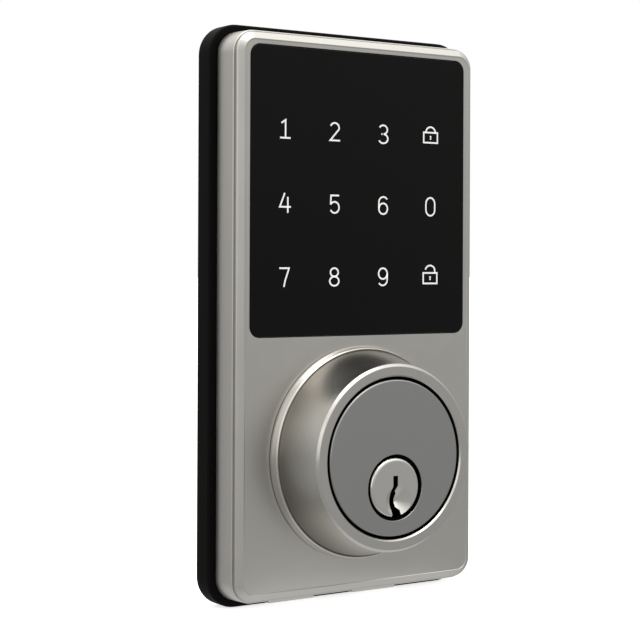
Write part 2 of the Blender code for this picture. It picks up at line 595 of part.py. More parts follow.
def guard_collar(metal):
    """Lip on the escutcheon, hollowed neck, rounded front ring, and a grooved spigot through the plate."""
    lip_top = COLLAR_SEAT_OUT + LIP_THICKNESS
    neck_top = COLLAR_FRONT_OUT - FRONT_BEVEL
    neck_spread = COLLAR_FLARE - LIP_LAND
    outline = [(COLLAR_BORE_RADIUS + GAP, COLLAR_FRONT_OUT),
               (COLLAR_FRONT_RADIUS - FRONT_BEVEL, COLLAR_FRONT_OUT),
               (COLLAR_FRONT_RADIUS - FRONT_EDGE, COLLAR_FRONT_OUT - FRONT_EDGE)]
    for step in range(NECK_STEPS + 1):
        part = step / NECK_STEPS
        outline.append((COLLAR_FRONT_RADIUS + neck_spread * part**NECK_HOLLOW,
                        neck_top - part * (neck_top - lip_top)))
    outline += [(COLLAR_LIP_RADIUS - LIP_ROUNDING[0], lip_top - LIP_ROUNDING[1]),
                (COLLAR_LIP_RADIUS, lip_top - LIP_ROUNDING[2]),
                (COLLAR_LIP_RADIUS, COLLAR_SEAT_OUT), (SPIGOT_RADIUS, COLLAR_SEAT_OUT),
                (SPIGOT_RADIUS, PLATE_BACK_OUT), (SPIGOT_RADIUS - GROOVE_DEPTH, PLATE_BACK_OUT),
                (SPIGOT_RADIUS - GROOVE_DEPTH, RING_OUT - GAP), (SPIGOT_RADIUS, RING_OUT - GAP),
                (SPIGOT_RADIUS, SPIGOT_END_OUT), (COLLAR_BORE_RADIUS, SPIGOT_END_OUT),
                (COLLAR_BORE_RADIUS, COLLAR_FRONT_OUT - GAP)]
    return turned("guard_collar", outline, metal, LARGE_SIDES, (0, 0, CYLINDER_CENTRE_Z), bored=True)


def collar_snap_ring(steel):
    inner = SPIGOT_RADIUS - GROOVE_DEPTH + GAP
    outline = [(inner, RING_OUT + RING_THICKNESS), (RING_RADIUS, RING_OUT + RING_THICKNESS),
               (RING_RADIUS, RING_OUT), (inner, RING_OUT)]
    ring = turned("collar_snap_ring", outline, steel, MIDDLE_SIDES, (0, 0, CYLINDER_CENTRE_Z), bored=True)
    bottom = CYLINDER_CENTRE_Z - RING_RADIUS
    cut(ring, block("cut_ring_mouth", (-RING_MOUTH / 2, 0, bottom - OVERCUT),
                    (RING_MOUTH / 2, FACE_OUT, bottom + RING_RADIUS - inner / 2)))
    return ring


# ---- Cylinder, plug and pins


def cylinder_body(metal):
    centre = (0, CYLINDER_CENTRE_Z)
    outline = [(0, CYLINDER_FACE_OUT), (CYLINDER_RADIUS - CYLINDER_EDGE, CYLINDER_FACE_OUT),
               (CYLINDER_RADIUS, CYLINDER_FACE_OUT - CYLINDER_EDGE), (CYLINDER_RADIUS, CYLINDER_BACK_OUT),
               (0, CYLINDER_BACK_OUT)]
    body = turned("cylinder_body", outline, metal, LARGE_SIDES, (0, 0, CYLINDER_CENTRE_Z))
    join(body, plate("cylinder_ears", EAR_WIDTH, EAR_HEIGHT, EAR_CORNER, EAR_OUT, EAR_OUT + EAR_THICKNESS,
                     centre))
    join(body, rod("cylinder_shoulder", SHOULDER_RADIUS, EAR_OUT, EAR_OUT + EAR_THICKNESS, centre,
                   sides=LARGE_SIDES))
    cut(body, rod("cut_plug_bore", BORE_RADIUS, 2 * CYLINDER_BACK_OUT, CYLINDER_FACE_OUT + OVERCUT, (0, 0),
                  sides=MIDDLE_SIDES))
    cut(body, rod("cut_plug_rim", PLUG_RADIUS + PLUG_RIM, CYLINDER_FACE_OUT - RIM_DEPTH,
                  CYLINDER_FACE_OUT + OVERCUT, (0, 0), sides=MIDDLE_SIDES))
    top = CYLINDER_CENTRE_Z + CYLINDER_RADIUS + OVERCUT
    for index in range(PIN_COUNT):
        cut(body, drill(f"cut_chamber_{index}", CHAMBER_RADIUS, PLUG_RADIUS / 2, top, pin_out(index)))
    rear, front = lid_reach()
    cut(body, block("cut_lid_slot", (-LID_WIDTH / 2 - GAP, rear - GAP, LID_BOTTOM - GAP),
                    (LID_WIDTH / 2 + GAP, front + GAP, top)))
    for index, side in enumerate((-1, 1)):
        cut(body, rod(f"cut_ear_{index}", STUD_RADIUS + GAP, 0, FACE_OUT,
                      (side * POST_SPREAD, CYLINDER_CENTRE_Z)))
    return body


def lid_reach():
    """How far out the pin chamber lid starts and ends."""
    margin = CHAMBER_RADIUS + LID_MARGIN
    return pin_out(PIN_COUNT - 1) - margin, pin_out(0) + margin


def pin_chamber_lid(metal):
    rear, front = lid_reach()
    return block("pin_chamber_lid", (-LID_WIDTH / 2, rear, LID_BOTTOM),
                 (LID_WIDTH / 2, front, LID_BOTTOM + LID_THICKNESS), metal)


def key_plug(metal):
    outline = [(0, PLUG_FACE_OUT), (PLUG_RADIUS - PLUG_EDGE, PLUG_FACE_OUT),
               (PLUG_RADIUS - PLUG_ROUNDING, PLUG_FACE_OUT - PLUG_ROUNDING),
               (PLUG_RADIUS, PLUG_FACE_OUT - PLUG_EDGE),
               (PLUG_RADIUS, PLUG_BACK_OUT), (0, PLUG_BACK_OUT)]
    plug = turned("key_plug", outline, metal, MIDDLE_SIDES)
    keyway = [(x * MM, z * MM) for x, z in KEYWAY_LEFT + KEYWAY_RIGHT]
    cut(plug, extruded("cut_keyway", keyway, PLUG_BACK_OUT + KEYWAY_END, PLUG_FACE_OUT + OVERCUT))
    ball = (DIMPLE_RADIUS**2 + DIMPLE_DEPTH**2) / (2 * DIMPLE_DEPTH)
    bm = bmesh.new()
    bmesh.ops.create_uvsphere(bm, u_segments=24, v_segments=16, radius=ball)
    middle = (DIMPLE_PLACE[0], -(PLUG_FACE_OUT + ball - DIMPLE_DEPTH), DIMPLE_PLACE[1])
    bmesh.ops.translate(bm, vec=middle, verts=bm.verts)
    cut(plug, place_object("cut_dimple", mesh_from(bm, "cut_dimple"), None))
    for index in range(PIN_COUNT):
        cut(plug, drill(f"cut_plug_chamber_{index}", CHAMBER_RADIUS, CHAMBER_FLOOR_Z, 2 * PLUG_RADIUS,
                        pin_out(index)))
    for index, place in enumerate(cam_screw_places()):
        cut(plug, rod(f"cut_plug_screw_{index}", CAM_SCREW_RADIUS + GAP, CAM_LID_BACK_OUT,
                      CAM_LID_BACK_OUT + CAM_SCREW_DEPTH + GAP, place, sides=SCREW_SIDES))
    return plug


def pin_stacks(brass, nickel, steel):
    for index, length in enumerate(KEY_PIN_LENGTHS):
        out = pin_out(index)
        foot = CHAMBER_FLOOR_Z + GAP
        key_pin = [(0, foot + length), (PIN_RADIUS, foot + length), (PIN_RADIUS, foot + PIN_POINT),
                   (PIN_TIP_RADIUS, foot), (0, foot)]
        turned(f"key_pin_{index + 1}", key_pin, brass, SMALL_SIDES, (0, -out, 0), upright=True)
        driver_top = DRIVER_BOTTOM + DRIVER_LENGTH
        driver = [(0, driver_top), (PIN_RADIUS - PIN_EDGE, driver_top), (PIN_RADIUS, driver_top - PIN_EDGE),
                  (PIN_RADIUS, DRIVER_BOTTOM), (0, DRIVER_BOTTOM)]
        turned(f"driver_pin_{index + 1}", driver, nickel, SMALL_SIDES, (0, -out, 0), upright=True)
        pin_spring(index, out, steel)


def pin_spring(index, out, steel):
    """A round-wire coil between the driver pin and the lid."""
    curve = bpy.data.curves.new(f"pin_spring_{index + 1}", "CURVE")
    curve.dimensions = "3D"
    curve.bevel_depth = SPRING_WIRE_RADIUS
    curve.bevel_resolution = 1
    curve.use_fill_caps = True
    spline = curve.splines.new("POLY")
    count = SPRING_TURNS * SPRING_SEGMENTS
    spline.points.add(count)
    coil = PIN_RADIUS - SPRING_WIRE_RADIUS - SPRING_CLEARANCE
    climb = SPRING_LENGTH - 2 * SPRING_WIRE_RADIUS
    for step, point in enumerate(spline.points):
        angle = 2 * math.pi * step / SPRING_SEGMENTS
        height = SPRING_BOTTOM + SPRING_WIRE_RADIUS + climb * step / count
        point.co = (coil * math.cos(angle), coil * math.sin(angle), height, 1)
    obj = bpy.data.objects.new(f"pin_spring_{index + 1}", curve)
    obj.location = (0, -out, 0)
    curve.materials.append(steel)
    PARTS.objects.link(obj)


# ---- Cam, tailpiece and mounting posts


def cam_screw_places():
    reach = CAM_SCREW_REACH * math.sqrt(0.5)
    return ((-reach, reach), (reach, -reach))


def bow_tie(radius, half_slot):
    """Two opposite quarter windows that leave the tailpiece a quarter turn of free play."""
    end = math.asin(half_slot / radius)
    steps = 8
    outline = []
    for start in (0, math.pi):
        for step in range(steps + 1):
            angle = start - end + (math.pi / 2 + 2 * end) * step / steps
            outline.append((radius * math.cos(angle), radius * math.sin(angle)))
        corner = half_slot if start else -half_slot
        outline.append((corner, -corner))
    return outline


def drive_cam(metal, steel):
    cam = rod("drive_cam", CAM_RADIUS, CAM_BACK_OUT, CAM_OUT, (0, 0), metal, sides=MIDDLE_SIDES)
    window = bow_tie(CAM_WINDOW_RADIUS, TAIL_THICKNESS / 2 + GAP)
    cut(cam, extruded("cut_bow_tie", window, CAM_BACK_OUT - OVERCUT, CAM_OUT + OVERCUT))
    lid = rod("cam_lid", CAM_RADIUS, CAM_LID_BACK_OUT, CAM_LID_OUT, (0, 0), metal, sides=MIDDLE_SIDES)
    cut(lid, rod("cut_cam_lid", TAIL_WIDTH / 2 + LID_CLEARANCE, CAM_LID_BACK_OUT - OVERCUT,
                 CAM_LID_OUT + OVERCUT, (0, 0), sides=MINOR_SIDES))
    for index, place in enumerate(cam_screw_places()):
        hole = rod(f"cut_cam_screw_{index}", CAM_SCREW_RADIUS + GAP, 2 * CAM_LID_BACK_OUT, OVERCUT, place,
                   sides=SCREW_SIDES)
        cut(cam, hole)
        cut(lid, hole)
        small_screw(f"cam_screw_{index + 1}", CAM_LID_BACK_OUT + CAM_SCREW_DEPTH - GAP,
                    CAM_LID_BACK_OUT - GAP, CAM_SCREW_RADIUS, CAM_SCREW_HEAD_RADIUS, steel, place)


def tailpiece(steel):
    """A flat bar with a wider head, held in the cam's window by the lid, and a tapered far end."""
    head_end = CAM_BACK_OUT + GAP
    bar = block("tailpiece", (-TAIL_THICKNESS / 2, TAIL_END_OUT + TAIL_TIP - OVERCUT, -TAIL_WIDTH / 2),
                (TAIL_THICKNESS / 2, CAM_OUT - GAP, TAIL_WIDTH / 2), steel)
    join(bar, block("tail_head", (-TAIL_THICKNESS / 2, head_end, -TAIL_HEAD_WIDTH / 2),
                    (TAIL_THICKNESS / 2, CAM_OUT - GAP, TAIL_HEAD_WIDTH / 2)))
    tip = block("tail_tip", (-TAIL_THICKNESS / 2, TAIL_END_OUT, -TAIL_WIDTH / 2),
                (TAIL_THICKNESS / 2, TAIL_END_OUT + TAIL_TIP, TAIL_WIDTH / 2))
    for vertex in tip.data.vertices:
        if vertex.co.y > -(TAIL_END_OUT + TAIL_TIP / 2):
            vertex.co.z *= TAIL_TIP_SHARE
    join(bar, tip)
    return bar


def mounting_posts(steel):
    rear = HOUSING_BACK_OUT - GAP
    nut_front = NUT_OUT + NUT_THICKNESS
    hole_end = BOLT_HOLE_DEPTH - POST_LENGTH
    outline = [(0, nut_front + GAP), (STUD_RADIUS - STUD_POINT, nut_front + GAP),
               (STUD_RADIUS, nut_front + GAP - STUD_POINT), (STUD_RADIUS, rear), (POST_RADIUS, rear),
               (POST_RADIUS, POST_EDGE - POST_LENGTH), (POST_RADIUS - POST_EDGE, -POST_LENGTH),
               (0, -POST_LENGTH)]
    for side, x in (("left", -POST_SPREAD), ("right", POST_SPREAD)):
        place = (x, CYLINDER_CENTRE_Z)
        post = turned(f"mounting_post_{side}", outline, steel, ROUND_SIDES, (x, 0, CYLINDER_CENTRE_Z))
        cut(post, rod(f"cut_post_{side}", BOLT_HOLE_RADIUS, -POST_LENGTH - OVERCUT, hole_end, place))
        nut = rod(f"post_nut_{side}", NUT_ACROSS_CORNERS / 2, NUT_OUT, nut_front, place, steel, sides=6)
        cut(nut, rod(f"cut_nut_{side}", STUD_RADIUS + GAP, 0, FACE_OUT, place))


def build():
    nickel = finish("satin_nickel", (0.60, 0.59, 0.56), 0.32, 1.0)
    chrome = finish("brushed_chrome", (0.46, 0.47, 0.47), 0.35, 1.0)
    bright = finish("bright_nickel", (0.72, 0.70, 0.66), 0.15, 1.0)
    steel = finish("zinc_plated_steel", (0.62, 0.63, 0.65), 0.30, 1.0)
    brass = finish("brass", (0.80, 0.62, 0.30), 0.30, 1.0)
    plastic = finish("black_plastic", (0.012, 0.012, 0.012), 0.50)
    foam = finish("black_foam", (0.02, 0.02, 0.02), 0.90)
    rubber = finish("black_rubber", (0.015, 0.015, 0.015), 0.75)
    glass = finish("black_glass", (0.010, 0.010, 0.010), 0.08)
    clear = finish("clear_acrylic", (0.90, 0.92, 0.92), 0.15, transmission=0.8)
    laminate = finish("green_laminate", (0.03, 0.20, 0.08), 0.45)
    ceramic = finish("white_ceramic", (0.85, 0.85, 0.80), 0.40)
    epoxy = finish("black_epoxy", (0.02, 0.02, 0.02), 0.60)
    nylon = finish("white_nylon", (0.80, 0.78, 0.72), 0.50)

    front_escutcheon(nickel)
    rear_housing(plastic)
    door_gasket(foam)
    cover_screws(steel)
    touch_panel(glass, rubber, clear)
    keypad_circuit_board(laminate)
    board_parts(ceramic, epoxy, brass, nylon, steel)
    cable_grommet(rubber)
    guard_collar(nickel)
    collar_snap_ring(steel)
    cylinder_body(chrome)
    pin_chamber_lid(brass)
    key_plug(bright)
    pin_stacks(brass, bright, steel)
    drive_cam(chrome, steel)
    tailpiece(steel)
    mounting_posts(steel)


for old in list(bpy.data.objects):
    bpy.data.objects.remove(old)
PARTS = fresh_collection("keypad_smart_lock")
CUTTERS = fresh_collection("cutters")
build()
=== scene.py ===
"""Keypad smart lock, outside unit of a digital deadbolt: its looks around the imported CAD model.

Metres, +Z up, the lock faces -Y and the door's surface is the plane y = 0. "Out" is a distance in front
of the door, so a point that is out by d has y = -d. Sections follow the lock as it is put together.
"""

import math

import bmesh
import bpy
from mathutils import Matrix, Vector


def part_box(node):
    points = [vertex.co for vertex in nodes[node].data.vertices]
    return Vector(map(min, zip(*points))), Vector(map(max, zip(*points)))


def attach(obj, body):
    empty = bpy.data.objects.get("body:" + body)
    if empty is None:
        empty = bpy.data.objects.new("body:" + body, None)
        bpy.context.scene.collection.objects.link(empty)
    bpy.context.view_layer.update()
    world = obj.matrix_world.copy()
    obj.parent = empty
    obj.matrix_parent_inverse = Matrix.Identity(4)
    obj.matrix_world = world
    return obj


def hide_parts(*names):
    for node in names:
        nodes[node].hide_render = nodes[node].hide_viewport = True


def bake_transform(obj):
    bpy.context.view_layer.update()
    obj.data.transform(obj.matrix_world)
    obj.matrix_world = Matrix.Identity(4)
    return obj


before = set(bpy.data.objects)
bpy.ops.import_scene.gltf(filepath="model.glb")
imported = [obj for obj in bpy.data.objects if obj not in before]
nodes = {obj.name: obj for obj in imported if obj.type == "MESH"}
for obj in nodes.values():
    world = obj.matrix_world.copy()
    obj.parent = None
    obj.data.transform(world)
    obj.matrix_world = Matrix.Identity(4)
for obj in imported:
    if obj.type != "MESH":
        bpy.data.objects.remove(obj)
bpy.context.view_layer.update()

bpy.ops.object.select_all(action="DESELECT")
MM = 0.001

# ---- Studio: a pale floor and backdrop, a broad soft sun, three soft panels, and the camera.
# The lock stands on its lower edge, as it does on a bench before it is fitted.

housing_low, housing_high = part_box("rear_housing")
cover_low, cover_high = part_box("front_escutcheon")

CAMERA_PLACE = (-0.20588, -0.30607, 0.04757)
CAMERA_YAW = math.radians(33.742)
CAMERA_ROLL = 0.004
CAMERA_LENS = 92.51
CAMERA_SHIFT = -0.0912
SENSOR_WIDTH = 36
NEAREST_SEEN = 0.01

forward = Vector((math.sin(CAMERA_YAW), math.cos(CAMERA_YAW), 0))
level = Vector((math.cos(CAMERA_YAW), -math.sin(CAMERA_YAW), 0))
right = level * math.cos(CAMERA_ROLL) + Vector((0, 0, math.sin(CAMERA_ROLL)))
up = right.cross(forward)
lens = bpy.data.cameras.new("Camera")
lens.lens = CAMERA_LENS
lens.sensor_width = SENSOR_WIDTH
lens.shift_y = CAMERA_SHIFT
lens.clip_start = NEAREST_SEEN
camera = bpy.data.objects.new("Camera", lens)
camera.matrix_world = Matrix.Translation(CAMERA_PLACE) @ Matrix((right, up, -forward)).transposed().to_4x4()
bpy.context.scene.collection.objects.link(camera)
bpy.context.scene.camera = camera
bpy.context.scene.view_settings.view_transform = "Standard"


def soft_light(name, kind, place, target, energy, size, tint):
    """A sun or a soft panel at a place, turned towards a target."""
    light = bpy.data.lights.new(name, kind)
    light.energy = energy
    light.color = tint
    if kind == "SUN":
        light.angle = math.radians(size[0])
    else:
        light.shape = "RECTANGLE"
        light.size, light.size_y = size
    lamp = bpy.data.objects.new(name, light)
    lamp.location = place
    lamp.rotation_euler = (Vector(target) - Vector(place)).to_track_quat("-Z", "Y").to_euler()
    bpy.context.scene.collection.objects.link(lamp)


WHITE, WARM, FAINTLY_WARM = (1, 1, 1), (1, 0.98, 0.95), (1, 0.99, 0.97)
# Name, kind, place, target, strength, size and colour; a sun's size is its angle in degrees
LIGHTS = (
    ("overhead_sun", "SUN", (-0.1, -0.35, 1.2), (0, 0, 0), 0.9, (40,), WHITE),
    ("right_panel", "AREA", (0.75, -0.75, 0.75), (0, 0, 0.05), 0.4, (0.7, 0.7), WHITE),
    ("left_panel", "AREA", (-0.9, -0.1, 0.35), (0, 0, 0.04), 0.5, (0.5, 0.9), WARM),
    ("front_left_panel", "AREA", (-0.85, -0.55, 0.1), (0, 0, 0.04), 0.65, (0.3, 0.9), FAINTLY_WARM),
)
for setup in LIGHTS:
    soft_light(*setup)

world = bpy.data.worlds.new("Studio")
world.use_nodes = True
bpy.context.scene.world = world
sky = world.node_tree
sky.nodes.clear()
direction = sky.nodes.new("ShaderNodeTexCoord")
height = sky.nodes.new("ShaderNodeSeparateXYZ")
sky.links.new(direction.outputs["Generated"], height.inputs[0])
shade = sky.nodes.new("ShaderNodeValToRGB")
# Place from straight down to straight up, and brightness there
SKY_TONES = ((0.0, 0.25), (0.45, 0.34), (0.5, 0.43), (0.62, 0.59), (0.75, 0.84), (0.91, 1.35), (1.0, 1.55))
SKY_BLUE = 0.985
tones = shade.color_ramp.elements
while len(tones) < len(SKY_TONES):
    tones.new(0.5)
for tone, (place, level_of_light) in zip(tones, SKY_TONES):
    tone.position = place
    tone.color = (level_of_light, level_of_light, level_of_light * SKY_BLUE, 1)
spread = sky.nodes.new("ShaderNodeMapRange")
spread.inputs["From Min"].default_value = -1
sky.links.new(height.outputs["Z"], spread.inputs["Value"])
sky.links.new(spread.outputs["Result"], shade.inputs["Fac"])
studio_light = sky.nodes.new("ShaderNodeBackground")
sky.links.new(shade.outputs["Color"], studio_light.inputs["Color"])
backdrop = sky.nodes.new("ShaderNodeBackground")
backdrop.inputs["Color"].default_value = (1, 1, 1, 1)
seen = sky.nodes.new("ShaderNodeLightPath")
choice = sky.nodes.new("ShaderNodeMixShader")
sky.links.new(seen.outputs["Is Camera Ray"], choice.inputs[0])
sky.links.new(studio_light.outputs[0], choice.inputs[1])
sky.links.new(backdrop.outputs[0], choice.inputs[2])
surround = sky.nodes.new("ShaderNodeOutputWorld")
sky.links.new(choice.outputs[0], surround.inputs["Surface"])


def new_finish(name, colour, roughness, metallic=0.0, specular=0.5):
    """A material with its Principled shader."""
    material = bpy.data.materials.new(name)
    material.use_nodes = True
    shader = material.node_tree.nodes["Principled BSDF"]
    shader.inputs["Base Color"].default_value = (*colour, 1)
    shader.inputs["Roughness"].default_value = roughness
    shader.inputs["Metallic"].default_value = metallic
    shader.inputs["Specular IOR Level"].default_value = specular
    return material, material.node_tree, shader


PAPER_SCALE = 40
FLOOR_GLOW = (("From Min", 0.030), ("From Max", 0.045), ("To Min", 0.60), ("To Max", 0.31))
FLOOR_SIZE = 12
floor_finish, tree, shader = new_finish("studio_floor", (0.88, 0.88, 0.87), 0.9, specular=0.1)
paper = tree.nodes.new("ShaderNodeTexNoise")
paper.inputs["Scale"].default_value = PAPER_SCALE
paper_bump = tree.nodes.new("ShaderNodeBump")
paper_bump.inputs["Strength"].default_value = 0.05
tree.links.new(paper.outputs["Fac"], paper_bump.inputs["Height"])
tree.links.new(paper_bump.outputs["Normal"], shader.inputs["Normal"])
# White to the eye; in reflections it is bright close to the lock and mid grey further out
floor_seen = tree.nodes.new("ShaderNodeLightPath")
floor_place = tree.nodes.new("ShaderNodeTexCoord")
floor_distance = tree.nodes.new("ShaderNodeVectorMath")
floor_distance.operation = "LENGTH"
tree.links.new(floor_place.outputs["Object"], floor_distance.inputs[0])
floor_glow = tree.nodes.new("ShaderNodeMapRange")
for label, value in FLOOR_GLOW:
    floor_glow.inputs[label].default_value = value
tree.links.new(floor_distance.outputs["Value"], floor_glow.inputs["Value"])
for label, unseen, seen_tone in (("Base Color", 0.05, 0.97), ("Emission Color", floor_glow, 0.7)):
    floor_tone = tree.nodes.new("ShaderNodeMix")
    if isinstance(unseen, float):
        floor_tone.inputs["A"].default_value = unseen
    else:
        tree.links.new(unseen.outputs["Result"], floor_tone.inputs["A"])
    floor_tone.inputs["B"].default_value = seen_tone
    tree.links.new(floor_seen.outputs["Is Camera Ray"], floor_tone.inputs["Factor"])
    tree.links.new(floor_tone.outputs["Result"], shader.inputs[label])
shader.inputs["Emission Strength"].default_value = 1
bpy.ops.mesh.primitive_plane_add(size=FLOOR_SIZE, location=(0, 0, housing_low.z - 0.05 * MM))
floor = bpy.context.object
floor.name = "studio_floor"
floor.data.materials.append(floor_finish)

# ---- Rear housing: a moulded black ABS tray that stands on the door and carries the works.
# It is open to the front, with four screw pockets, the cylinder's hole and the cable's hole in its
# floor, and two notches in its lower wall for the escutcheon's lugs.

HOUSING_WALL = 2.5 * MM
HOUSING_FLOOR = 2.0 * MM
HOUSING_CORNER = 6.6 * MM
HOUSING_EDGE = 0.55 * MM
HOUSING_BACK_EDGE = 0.4 * MM
WORKS_HOLE = 16.9 * MM
GROMMET_HOLE = 2.9 * MM
SCREW_HOLE = 1.8 * MM
SCREW_POCKET = 3.1 * MM
SCREW_POCKET_DEPTH = 1.2 * MM
LUG_WIDTH = 11.7 * MM
LUG_CENTRES = (-13.1 * MM, 8.7 * MM)
LUG_BOTTOM_OUT = 4.6 * MM
LUG_PLAY = 0.15 * MM
CUT_END = 5 * MM
BLACK_ABS = (0.0030, 0.0031, 0.0028)


def start_fresh():
    """Leaves edit mode and lets go of everything, so that an operator touches only the next piece."""
    if bpy.context.mode != "OBJECT":
        bpy.ops.object.mode_set(mode="OBJECT")
    bpy.ops.object.select_all(action="DESELECT")


def take(piece):
    """Makes a piece the only one selected, and the active one."""
    start_fresh()
    piece.select_set(True)
    bpy.context.view_layer.objects.active = piece


def edit(piece):
    """Opens a piece in edit mode."""
    take(piece)
    bpy.ops.object.mode_set(mode="EDIT")


def add_block(name, low, high):
    """A block between two corners, with its place in its mesh."""
    low, high = Vector(low), Vector(high)
    start_fresh()
    bpy.ops.mesh.primitive_cube_add(size=1, location=(low + high) / 2, scale=high - low)
    piece = bpy.context.object
    piece.name = name
    bpy.ops.object.transform_apply(location=True, rotation=True, scale=True)
    return piece


def pick(kind, test):
    """In edit mode, selects the faces, edges or corners that pass a test."""
    bpy.ops.mesh.select_mode(type=kind)
    bpy.ops.mesh.select_all(action="DESELECT")
    shape = bmesh.from_edit_mesh(bpy.context.object.data)
    for item in {"FACE": shape.faces, "EDGE": shape.edges, "VERT": shape.verts}[kind]:
        if test(item):
            item.select_set(True)
    bmesh.update_edit_mesh(bpy.context.object.data)


def in_plane(out, near=0.02 * MM):
    """A test for the faces or edges that lie in the plane at that distance out."""
    return lambda part: all(abs(v.co.y + out) < near for v in part.verts)


def add_slab(name, low_x, high_x, low_z, high_z, corner, near, far, steps=12):
    """A slab parallel to the door with rounded corners, left in edit mode."""
    piece = add_block(name, (low_x, -far, low_z), (high_x, -near, high_z))
    edit(piece)
    pick("EDGE", lambda e: abs(e.verts[0].co.y - e.verts[1].co.y) > (far - near) / 2)
    bpy.ops.mesh.bevel(offset=corner, segments=steps, affect="EDGES")
    return piece


def soften(out, width, steps=3, where=lambda edge: True):
    """Rounds the sharp edges in the plane at that distance out."""
    flat = in_plane(out)
    pick("EDGE", lambda e: flat(e) and where(e) and e.calc_face_angle(0) > math.radians(25))
    bpy.ops.mesh.bevel(offset=width, segments=steps, affect="EDGES")


def apply_modifier(piece, kind, **settings):
    """Adds a modifier with its settings and makes it part of the mesh."""
    modifier = piece.modifiers.new(kind, kind)
    for name, value in settings.items():
        setattr(modifier, name, value)
    take(piece)
    bpy.ops.object.modifier_apply(modifier=modifier.name)


def carve(piece, tool, how="DIFFERENCE"):
    """Cuts a tool out of a piece, or adds it, and clears the tool away."""
    start_fresh()
    apply_modifier(piece, "BOOLEAN", operation=how, object=tool, solver="EXACT")
    bpy.data.objects.remove(tool)


def add_peg(name, radius, near, far, place, sides=48):
    """A round bar along the lock's depth at (x, z)."""
    start_fresh()
    bpy.ops.mesh.primitive_cylinder_add(
        vertices=sides, radius=radius, depth=far - near,
        location=(place[0], -(near + far) / 2, place[1]), rotation=(math.radians(90), 0, 0),
    )
    piece = bpy.context.object
    piece.name = name
    bpy.ops.object.transform_apply(location=True, rotation=True, scale=True)
    return piece


def complete(piece, finish, body, *stands_for, slot=None, angle=32, flat=True):
    """Shades a piece, gives it its finish, and puts it on its CAD body in place of its CAD nodes."""
    take(piece)
    bpy.ops.object.shade_smooth_by_angle(angle=math.radians(angle))
    if flat:
        apply_modifier(piece, "WEIGHTED_NORMAL", keep_sharp=True, weight=80)
    piece.data.materials.clear()
    piece.data.materials.append(finish)
    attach(piece, body)
    if stands_for:
        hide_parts(*stands_for)


def middle_of(node):
    """The middle of a CAD node's box, as (x, z)."""
    low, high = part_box(node)
    return ((low.x + high.x) / 2, (low.z + high.z) / 2)


def new_effect(name, inputs, outputs):
    """An empty node group with number inputs, for an effect that more than one finish uses."""
    group = bpy.data.node_groups.new(name, "ShaderNodeTree")
    for label, value in inputs:
        socket = group.interface.new_socket(label, in_out="INPUT", socket_type="NodeSocketFloat")
        socket.default_value = value
    for label in outputs:
        group.interface.new_socket(label, in_out="OUTPUT", socket_type="NodeSocketFloat")
    return group, group.nodes.new("NodeGroupInput"), group.nodes.new("NodeGroupOutput")


def add_noise(tree, scale, detail=3.0):
    """A noise pattern placed in the piece's own coordinates."""
    noise = tree.nodes.new("ShaderNodeTexNoise")
    noise.inputs["Scale"].default_value = scale
    noise.inputs["Detail"].default_value = detail
    place = tree.nodes.new("ShaderNodeTexCoord")
    tree.links.new(place.outputs["Object"], noise.inputs["Vector"])
    return noise


def add_range(tree, value, low, high, from_low=0.3, from_high=0.7):
    """Spreads a 0-to-1 pattern between two values; low and high may be sockets."""
    spread = tree.nodes.new("ShaderNodeMapRange")
    tree.links.new(value, spread.inputs["Value"])
    spread.inputs["From Min"].default_value = from_low
    spread.inputs["From Max"].default_value = from_high
    for label, bound in (("To Min", low), ("To Max", high)):
        if isinstance(bound, bpy.types.NodeSocket):
            tree.links.new(bound, spread.inputs[label])
        else:
            spread.inputs[label].default_value = bound
    return spread.outputs["Result"]


def add_maths(tree, operation, first, second):
    """One sum on two values, each a number or a socket."""
    maths = tree.nodes.new("ShaderNodeMath")
    maths.operation = operation
    for index, value in enumerate((first, second)):
        if isinstance(value, bpy.types.NodeSocket):
            tree.links.new(value, maths.inputs[index])
        else:
            maths.inputs[index].default_value = value
    return maths.outputs[0]


# Fine grain with faint handling marks, for moulded, cast and blasted surfaces alike
grain_effect, given, result = new_effect(
    "Surface grain", (("Grain", 2500), ("Roughness low", 0.3), ("Roughness high", 0.4)),
    ("Roughness", "Height", "Marks"),
)
grain = add_noise(grain_effect, 2500, 4.0)
grain_effect.links.new(given.outputs["Grain"], grain.inputs["Scale"])
marks = add_noise(grain_effect, 55, 5.0)
marks_seen = add_range(grain_effect, marks.outputs["Fac"], 0.0, 1.0, 0.35, 0.65)
blend = add_maths(grain_effect, "ADD", add_maths(grain_effect, "MULTIPLY", grain.outputs["Fac"], 0.6),
                  add_maths(grain_effect, "MULTIPLY", marks_seen, 0.4))
grain_effect.links.new(
    add_range(grain_effect, blend, given.outputs["Roughness low"], given.outputs["Roughness high"], 0.2, 0.8),
    result.inputs["Roughness"],
)
grain_effect.links.new(grain.outputs["Fac"], result.inputs["Height"])
grain_effect.links.new(marks_seen, result.inputs["Marks"])

# Convex edges, where handling and polishing brighten a finish
wear_effect, given, result = new_effect("Edge wear", (("Reach", 0.06),), ("Wear",))
bend = wear_effect.nodes.new("ShaderNodeNewGeometry")
edges = add_range(wear_effect, bend.outputs["Pointiness"], 0.0, 1.0, 0.51, 0.6)
worn_patches = add_range(wear_effect, add_noise(wear_effect, 240, 4.0).outputs["Fac"], 0.3, 1.0)
wear_effect.links.new(
    add_maths(wear_effect, "MULTIPLY", add_maths(wear_effect, "MULTIPLY", edges, worn_patches),
              given.outputs["Reach"]), result.inputs["Wear"])


def add_effect(tree, effect, **values):
    """Puts a node group into a material and sets its inputs."""
    node = tree.nodes.new("ShaderNodeGroup")
    node.node_tree = effect
    for label, value in values.items():
        node.inputs[label.replace("_", " ")].default_value = value
    return node


